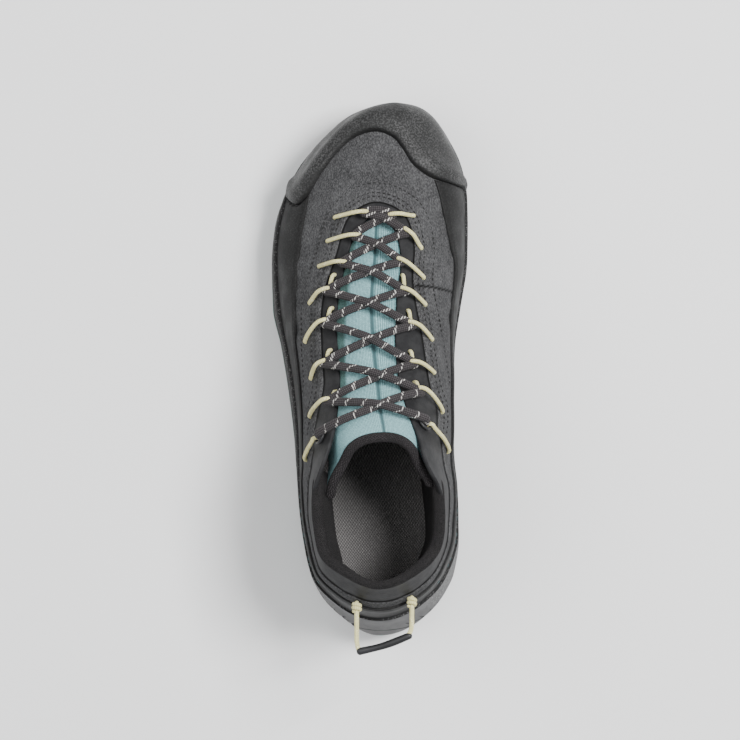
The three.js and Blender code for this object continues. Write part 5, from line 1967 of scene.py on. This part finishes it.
@dataclass
class PullLoop:
    """The cord loop at the heel with its sleeve."""

    form: Form
    height: float = 0.82 * COLLAR_HEIGHT
    outer: float = -0.065 * BALL_WIDTH
    inner: float = 0.205 * BALL_WIDTH
    reach: float = 25.0
    rise: float = 6.0
    skew: float = 6.0
    sag: float = 0.9
    knot_start: float = 1.6
    knot_length: float = 3.6
    knot_turns: int = 2
    sleeve_waves: float = 9.0

    def foot(self, x: float, side_of: int) -> Vector:
        """Where the cord leaves the suede of the heel."""
        stations = np.linspace(0, 0.4, 400)
        floor, ridge = last["floor"](stations), last["ridge"](stations)
        rise = (self.height - floor) / (ridge - floor)
        line = form_points(stations, side_of, rise, OVERLAY_BACK)
        middle = float(last["centre"](0.0))
        index = int(np.argmax(np.abs(line[:, 0] - middle) >= abs(x - middle)))
        return Vector(line[index])

    def build(self) -> list:
        """Makes the cord, its knots and the sleeve."""
        left, right = self.foot(self.outer, -1), self.foot(self.inner, 1)
        left_end = left + Vector((0, -self.reach, self.rise))
        right_end = right + Vector((0, -self.reach + self.skew, self.rise))
        bend = left_end.lerp(right_end, 0.5) + Vector((0, -1.0, 0))
        sag = Vector((0, 0, -self.sag))
        route = [
            left, left.lerp(left_end, 0.25) + sag, left.lerp(left_end, 0.55) + sag,
            left.lerp(left_end, 0.86) + Vector((0.3, 0, 0)), left_end + Vector((1.6, 0.6, 0)),
            left_end.lerp(bend, 0.5) + Vector((0, -0.3, 0)), bend,
            bend.lerp(right_end, 0.5) + Vector((0, -0.3, 0)), right_end + Vector((-1.6, 0.2, 0)),
            right.lerp(right_end, 0.84) + Vector((-0.3, 0, 0)), right.lerp(right_end, 0.5) + sag,
            right.lerp(right_end, 0.25) + sag, right,
        ]
        line = smooth_line(route, 150)
        cord = Piece("pull_cord")
        cord.tube(line, LOOP_DIAMETER / 2, 12)
        nodes = ["pull_cord_outer", "pull_cord_inner"]
        thing = cord.finish(loop_finish("pull_cord_braid"), "pull_cord", nodes)
        knots = Piece("pull_cord_knots")
        for start, end in ((left, left_end), (right, right_end)):
            self.knot(knots, start, (end - start).normalized())
        tied = knots.finish(loop_finish("pull_knot_braid"), "pull_cord")
        sleeve = Piece("pull_sleeve_tube")
        middle = smooth_line([left_end, bend, right_end], 60)
        waves = self.sleeve_waves
        sleeve.tube(middle, SLEEVE_DIAMETER / 2, 14, taper=lambda at: 1 + 0.05 * np.cos(at * waves))
        plastic = Foam("sleeve_plastic", (0.02, 0.02, 0.022), (0.012, 0.012, 0.013), roughness=0.45)
        tube = sleeve.finish(plastic.material(), "pull_sleeve", ["pull_sleeve"])
        return [thing, tied, tube]

    def knot(self, piece: Piece, start: Vector, way: Vector) -> None:
        """Adds a small turn of cord round itself where it leaves the heel."""
        aside = way.cross(Vector((0, 0, 1))).normalized()
        up = aside.cross(way)
        points = []
        for share in np.linspace(0, 1, 33):
            turn = 2 * math.pi * self.knot_turns * share
            arm = aside * math.cos(turn) + up * math.sin(turn)
            along = self.knot_start + self.knot_length * share
            points.append(start + way * along + arm * (LOOP_DIAMETER * 0.72))
        piece.tube(smooth_line(points, 60), LOOP_DIAMETER * 0.42, 8)


@dataclass
class Stitching:
    """Rows of stitches that follow the suede's front edge."""

    form: Form
    pitch: float = 2.6
    length: float = 1.7
    thread: float = 0.4
    lift: float = 0.12
    margin: float = 1.5
    back: float = -0.13 * LENGTH
    offsets: tuple = (2.4, 4.3, 9.2)

    def rows(self) -> list:
        """The lines that the stitches follow, seen from above."""
        middle = SUEDE_LOOP[SUEDE_LOOP[:, 1] > self.back]
        ways = directions(middle)
        normals = np.stack([-ways[:, 1], ways[:, 0]], -1)
        return [middle + normals * offset for offset in self.offsets]

    def build(self) -> Thing:
        """Makes every stitch as one joined piece."""
        piece = Piece("stitching")
        for line in self.rows():
            walked = walked_along(line)
            for at in np.arange(self.margin, walked[-1] - self.margin, self.pitch):
                spot = [np.interp(at, walked, column) for column in line.T]
                ahead = [np.interp(at + 1, walked, column) for column in line.T]
                place, normal = self.form.over(*spot, SUEDE_STEP + self.lift)
                onward, _ = self.form.over(*ahead, SUEDE_STEP + self.lift)
                if place is None or onward is None:
                    continue
                self.stitch(piece, place, (onward - place).normalized(), normal)
        thread = Foam("stitch_thread", grey(0.02), grey(0.008))
        return piece.finish(thread.material(), "upper")

    def stitch(self, piece: Piece, place: Vector, way: Vector, normal: Vector) -> None:
        """Adds one stitch lying along its row."""
        aside = normal.cross(way).normalized()
        basis = Matrix((
            way * self.length / 2, aside * self.thread, normal * self.thread,
        )).transposed().to_4x4()
        basis.translation = place
        bmesh.ops.create_uvsphere(piece.mesh, u_segments=6, v_segments=4, radius=1, matrix=basis)


@dataclass
class Sole:
    """The layers under the upper: midsole, teal line, heel foam and outsole, with the insole."""

    columns: int = 560
    bumper_columns: int = 240
    foam_columns: int = 900
    bumper_back: float = 0.378 * LENGTH
    bumper_slant: float = 0.6
    wedge_front: float = -0.185 * LENGTH
    wall_return: float = 3.0
    layer_gap: float = 0.15
    sipe_depth: float = 1.3
    lug_fields: tuple = ((0.095, 0.27), (-0.39, -0.235))
    lug_rows: int = 4
    lugs_across: int = 4
    lug_inset: float = 4.3
    lug_turn: float = 0.3
    lug_size: tuple = (9.0, 13.0)
    brake: tuple = (-0.182 * LENGTH, -0.128 * LENGTH)
    brake_reach: tuple = (-31, 33)
    brake_blocks: int = 5
    brake_width: float = 12.0

    def bumper_station(self, height_at: Callable) -> float:
        """The station where a line on the side meets the bumper's slanted back edge."""
        y = self.bumper_back
        for _ in range(4):
            y = self.bumper_back + self.bumper_slant * float(height_at(sole_station(y)))
        return float(sole_station(y))

    def bumper_edge(self, foot: Callable) -> Curve:
        """The bumper's back edge between a line on the wall and the band's top.

        Args:
            foot: the lower line, by station.

        Returns:
            The edge's station by the share of the height.
        """
        shares = np.linspace(0, 1, 9)
        stations = [
            self.bumper_station(
                lambda station: foot(station) + (side["band"](station) - foot(station)) * share
            )
            for share in shares
        ]
        return curve_through(shares, stations)

    def strip(self, name: str, low: Callable, high: Callable, profile: Sequence[tuple],
              stop: Callable, middle_at_heel: bool = True, columns: int = 0,
              relief: Callable | None = None, marks: Callable | None = None) -> Piece:
        """A band of the sole's wall round the heel or the toe.

        Args:
            name: the piece's name.
            low: its lower line, by station.
            high: its upper line, by station.
            profile: pairs of the share of its height and how far out it lies there.
            stop: its far station on both sides, by share of height.
            middle_at_heel: whether it runs round the heel; otherwise round the toe.
            columns: how many faces along it.
            relief: extra height out of the wall for station and share.
            marks: named values for u, v and points.

        Returns:
            The piece, not yet finished.
        """
        lines = np.array(profile, float)
        count = len(lines) - 1

        def place(u: Array, v: Array) -> Array:
            """Points of the band for arrays of u and v."""
            row = np.round(v * count).astype(int)
            share, growth = lines[row, 0], lines[row, 1]
            side_of = np.where(u <= 0.5, -1.0, 1.0)
            far = np.array([float(stop(at)) for at in share])
            part = np.abs(1 - 2 * u)
            station = far * part if middle_at_heel else 1 - (1 - far) * part
            z = low(station) + (high(station) - low(station)) * share
            if relief is not None:
                growth = growth + relief(station, share)
            return wall_points(station, side_of, z, growth)

        piece = Piece(name)
        core = Vector((5, -40 if middle_at_heel else 60, 10))
        piece.grid(columns or self.columns, count, place, core=core, marks=marks)
        return piece

    def rounded(self, rows: int, inset: float = 0.5) -> list:
        """A wall's profile with small rounded edges that return behind the face."""
        edge = min(0.12, 1.2 / rows)
        body = [(share, 0.0) for share in np.linspace(edge * 2, 1 - edge * 2, rows)]
        low = [(0.0, -self.wall_return), (0.0, -inset * 2)]
        low += [(edge * 0.25, -inset), (edge, -inset * 0.35)]
        high = [(1 - share, growth) for share, growth in reversed(low)]
        return low + body + high

    def midsole(self) -> Thing:
        """Makes the speckled band."""
        def foot(station: ArrayLike) -> Array:
            """The lower line, over the teal layer and the heel foam."""
            return np.maximum(teal_high(station), side["wedge"](station)) + self.layer_gap

        def top(station: ArrayLike) -> Array:
            """The upper line, under the rand."""
            return np.maximum(side["band"](station), foot(station) + 0.4)

        piece = self.strip("midsole_band", foot, top, self.rounded(26), self.bumper_edge(foot))
        return piece.finish(Speckled().material(), "midsole", ["midsole"])

    def teal(self) -> Thing:
        """Makes the teal line."""
        stop = self.bumper_station(side["teal"])
        piece = self.strip(
            "teal_line", teal_low, teal_high, self.rounded(5, inset=0.25), lambda _: stop
        )
        foam = Foam("teal_foam", (0.150, 0.445, 0.366), (0.125, 0.385, 0.32), roughness=0.55)
        return piece.finish(foam.material(), "teal_layer", ["teal_layer"])

    @staticmethod
    def slot_share(station: Array, height: Array) -> Array:
        """How deep in one of the slanted slots each place of the heel foam is, from 0 to 1."""
        count, first, final, slant = 17, 0.012, 0.292, 0.36
        pitch = (final - first) / count
        place = (along_of(station) + slant * height / LENGTH - first) / pitch
        near = np.abs(place - np.round(place)) * pitch * LENGTH
        wide = (0.95 - 0.7 * smooth(0, 0.3, along_of(station))) * (1 - 0.75 * smooth(4, 13, height))
        room = side["wedge"](station) - teal_high(station) - height
        window = smooth(2.4, 3.0, height) * smooth(2.0, 4.0, room) * (1 - smooth(12, 13.5, height))
        return (1 - smooth(wide * 0.6, wide * 0.6 + 0.45, near)) * window * (place > 0.6)

    def sipes(self, station: Array, share: Array) -> Array:
        """The slanted slots of the heel foam, as depths out of its wall."""
        height = (side["wedge"](station) - teal_high(station)) * share
        return -self.sipe_depth * self.slot_share(station, height)

    def heel(self) -> Thing:
        """Makes the grey heel foam with its slots."""
        stop = float(sole_station(self.wedge_front + 3))

        def low(station: ArrayLike) -> Array:
            """The lower line, over the teal layer."""
            return teal_high(station) + self.layer_gap

        def top(station: ArrayLike) -> Array:
            """The upper line, under the midsole."""
            return np.maximum(side["wedge"](station), low(station) + 0.3)

        piece = self.strip(
            "heel_foam", low, top, self.rounded(60), lambda _: stop, columns=self.foam_columns,
            relief=self.sipes, marks=self.foam_marks,
        )
        return piece.finish(HeelFoam().material(), "heel_wedge", ["heel_wedge"])

    @staticmethod
    def foam_marks(u: Array, v: Array, points: Array) -> dict:
        """Where the heel foam has its knit-like moulding, and where its slots are."""
        station = sole_station(points[:, 1])
        over = points[:, 2] - teal_high(station)
        knit = smooth(15.0, 17.0, over) * smooth(HEEL_Y + 12, HEEL_Y + 20, points[:, 1])
        return {"knit": knit, "slot": Sole.slot_share(station, over) * (points[:, 1] < -45)}

    def outsole(self) -> Thing:
        """Makes the outsole: its edge, the toe bumper, its underside and the tread."""
        web = side["web"]
        piece = self.strip(
            "outsole_rubber", web,
            lambda station: np.maximum(teal_low(station) - 0.1, web(station) + 0.4),
            self.rounded(8), lambda _: 1.0,
        )
        bumper = self.strip(
            "bumper", web, lambda station: side["band"](station) + 0.2, self.rounded(28),
            self.bumper_edge(web), middle_at_heel=False, columns=self.bumper_columns,
        )
        piece.join(bumper.mesh)
        self.underside(piece)
        self.lugs(piece)
        finish = Rubber(
            "tread_rubber", grey(0.014), grey(0.034), grain=0.9, depth=0.06, roughness=0.55
        )
        return piece.finish(finish.material(), "outsole", ["outsole"])

    def underside(self, piece: Piece) -> None:
        """Adds the web between the lugs."""

        def place(u: Array, v: Array) -> Array:
            """Points of the web from side to side, from heel to toe."""
            left, right = (wall_points(v, hand, side["web"](v), -1.0) for hand in (-1, 1))
            return left + (right - left) * u[:, None]

        piece.grid(40, 260, place, core=Vector((5, 0, 60)))

    def lugs(self, piece: Piece) -> None:
        """Adds the blocks of the tread."""
        for first, final in self.lug_fields:
            for along in np.linspace(first, final, self.lug_rows):
                y = float(LENGTH * along)
                station = sole_station(y)
                left = float(sole["outer"](station)) + self.lug_inset
                right = float(sole["inner"](station)) - self.lug_inset
                for k, x in enumerate(np.linspace(left, right, self.lugs_across)):
                    turn = self.lug_turn if k % 2 else -self.lug_turn
                    self.block(piece, float(x), y, turn, *self.lug_size)
        back, front = self.brake
        for x in np.linspace(*self.brake_reach, self.brake_blocks):
            self.block(piece, float(x), (back + front) / 2, 0.0, front - back, self.brake_width)

    def block(self, piece: Piece, x: float, y: float, turn: float, length: float,
              width: float) -> None:
        """Adds one lug with softened edges, kept inside the sole's outline.

        Args:
            piece: what it is added to.
            x: its middle across the shoe.
            y: its middle along it.
            turn: its turn about the vertical, in radians.
            length: its size along the shoe before the turn.
            width: its size across.
        """
        part = bmesh.new()
        bmesh.ops.create_cube(part, size=1)
        height = float(side["web"](sole_station(y))) + 0.8
        bmesh.ops.scale(part, vec=(width, length, height), verts=part.verts)
        bmesh.ops.rotate(part, matrix=Matrix.Rotation(turn, 3, "Z"), verts=part.verts)
        bmesh.ops.translate(part, vec=(x, y, height / 2), verts=part.verts)
        bmesh.ops.bevel(part, geom=list(part.edges), offset=0.7, segments=2, profile=0.5,
                        affect="EDGES", material=-1)
        for vertex in part.verts:
            station = sole_station(vertex.co.y)
            low, high = float(sole["outer"](station)) + 1.4, float(sole["inner"](station)) - 1.4
            vertex.co.x = min(max(vertex.co.x, low), high)
        piece.join(part)

    def insole(self) -> Thing:
        """Makes the foot bed."""

        def place(u: Array, v: Array) -> Array:
            """Points of the bed from side to side, from heel to toe, cupped at its edges."""
            station = np.clip(v, 0.002, 0.998)
            floor = last["floor"](station) + 0.3
            z = floor + INSOLE_THICKNESS
            rise = (z - floor) / (last["ridge"](station) - 2.6 - floor)
            left, right = (form_points(station, hand, rise, -2.8) for hand in (-1, 1))
            points = left + (right - left) * u[:, None]
            cup = 1.6 * np.abs(2 * u - 1) ** 3 - 1.0
            points[:, 2] = z + cup + np.array([0.2 * rough(spot, 15, 9) for spot in points])
            return points

        piece = Piece("insole_bed")
        piece.grid(90, 230, place, core=Vector((5, 0, -300)))
        cloth = Knit(
            "insole_knit", thread=(0.24, 0.23, 0.226), gap=(0.08, 0.077, 0.076), columns=46,
            rows=150, depth=0.2, stagger=False,
        )
        thing = piece.finish(cloth.material(), "insole", ["insole"])
        return thing


class Lamp(NamedTuple):
    """One square light, aimed at the shoe."""

    name: str
    place: tuple
    size: float
    power: float


@dataclass(frozen=True)
class Studio:
    """The pale floor, the soft lights and the camera straight above the shoe."""

    picture: int = 740
    millimetres_per_pixel: float = 0.5085
    lens: float = 220.0
    focus_height: float = 0.02
    sensor: float = 36.0
    sky: tuple = (0.97, 0.985, 1.0, 1.0)
    sky_strength: float = 0.63
    lamps: tuple = (
        Lamp("key", (0.72, 0.3, 1.45), 0.5, 44.0), Lamp("fill", (-0.9, 0.1, 1.3), 1.2, 14.0),
    )
    paper: Colour = grey(0.83)

    def camera(self) -> None:
        """Sets up the camera over the middle of the shoe, toe at the top of the picture."""
        data = bpy.data.cameras.new("camera")
        data.lens, data.sensor_width = self.lens, self.sensor
        thing = bpy.data.objects.new("camera", data)
        width = self.picture * self.millimetres_per_pixel * MM
        thing.location = (0, 0, width * self.lens / self.sensor + self.focus_height)
        data.clip_start, data.clip_end = 0.01, 100
        bpy.context.scene.collection.objects.link(thing)
        bpy.context.scene.camera = thing

    def lights(self) -> None:
        """Sets up the world, a key light and a broader, weaker fill."""
        world = bpy.data.worlds.new("studio")
        bpy.context.scene.world = world
        world.use_nodes = True
        back = world.node_tree.nodes["Background"]
        back.inputs["Color"].default_value = self.sky
        back.inputs["Strength"].default_value = self.sky_strength
        for lamp in self.lamps:
            light = bpy.data.lights.new(lamp.name, "AREA")
            light.shape, light.size, light.energy = "SQUARE", lamp.size, lamp.power
            thing = bpy.data.objects.new(lamp.name, light)
            thing.location = lamp.place
            thing.rotation_euler = (-Vector(lamp.place)).to_track_quat("-Z", "Y").to_euler()
            bpy.context.scene.collection.objects.link(thing)

    def floor(self) -> None:
        """Makes the floor."""
        mesh = bmesh.new()
        bmesh.ops.create_grid(mesh, x_segments=8, y_segments=8, size=6)
        data = bpy.data.meshes.new("floor")
        mesh.to_mesh(data)
        mesh.free()
        shader = Shader("floor_paper", 0.9)
        shader.surface.inputs["Base Color"].default_value = (*self.paper, 1)
        data.materials.append(shader.material)
        thing = bpy.data.objects.new("floor", data)
        bpy.context.scene.collection.objects.link(thing)


def main() -> None:
    """Builds the shoe's parts in order, and the studio round it."""
    logging.basicConfig(level=logging.INFO, format="%(name)s: %(message)s")
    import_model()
    studio = Studio()
    studio.camera()
    form = Form()
    PullLoop(form).build()
    Lacing(form).build()
    UpperShell(form).build()
    CollarLining(form).build()
    overlays = Overlays(form)
    overlays.cap()
    overlays.rand()
    Vents(form).build()
    Tongue(form).build()
    Stitching(form).build()
    under = Sole()
    under.midsole()
    under.teal()
    under.heel()
    under.outsole()
    under.insole()
    studio.lights()
    studio.floor()


if __name__ == "__main__":
    main()
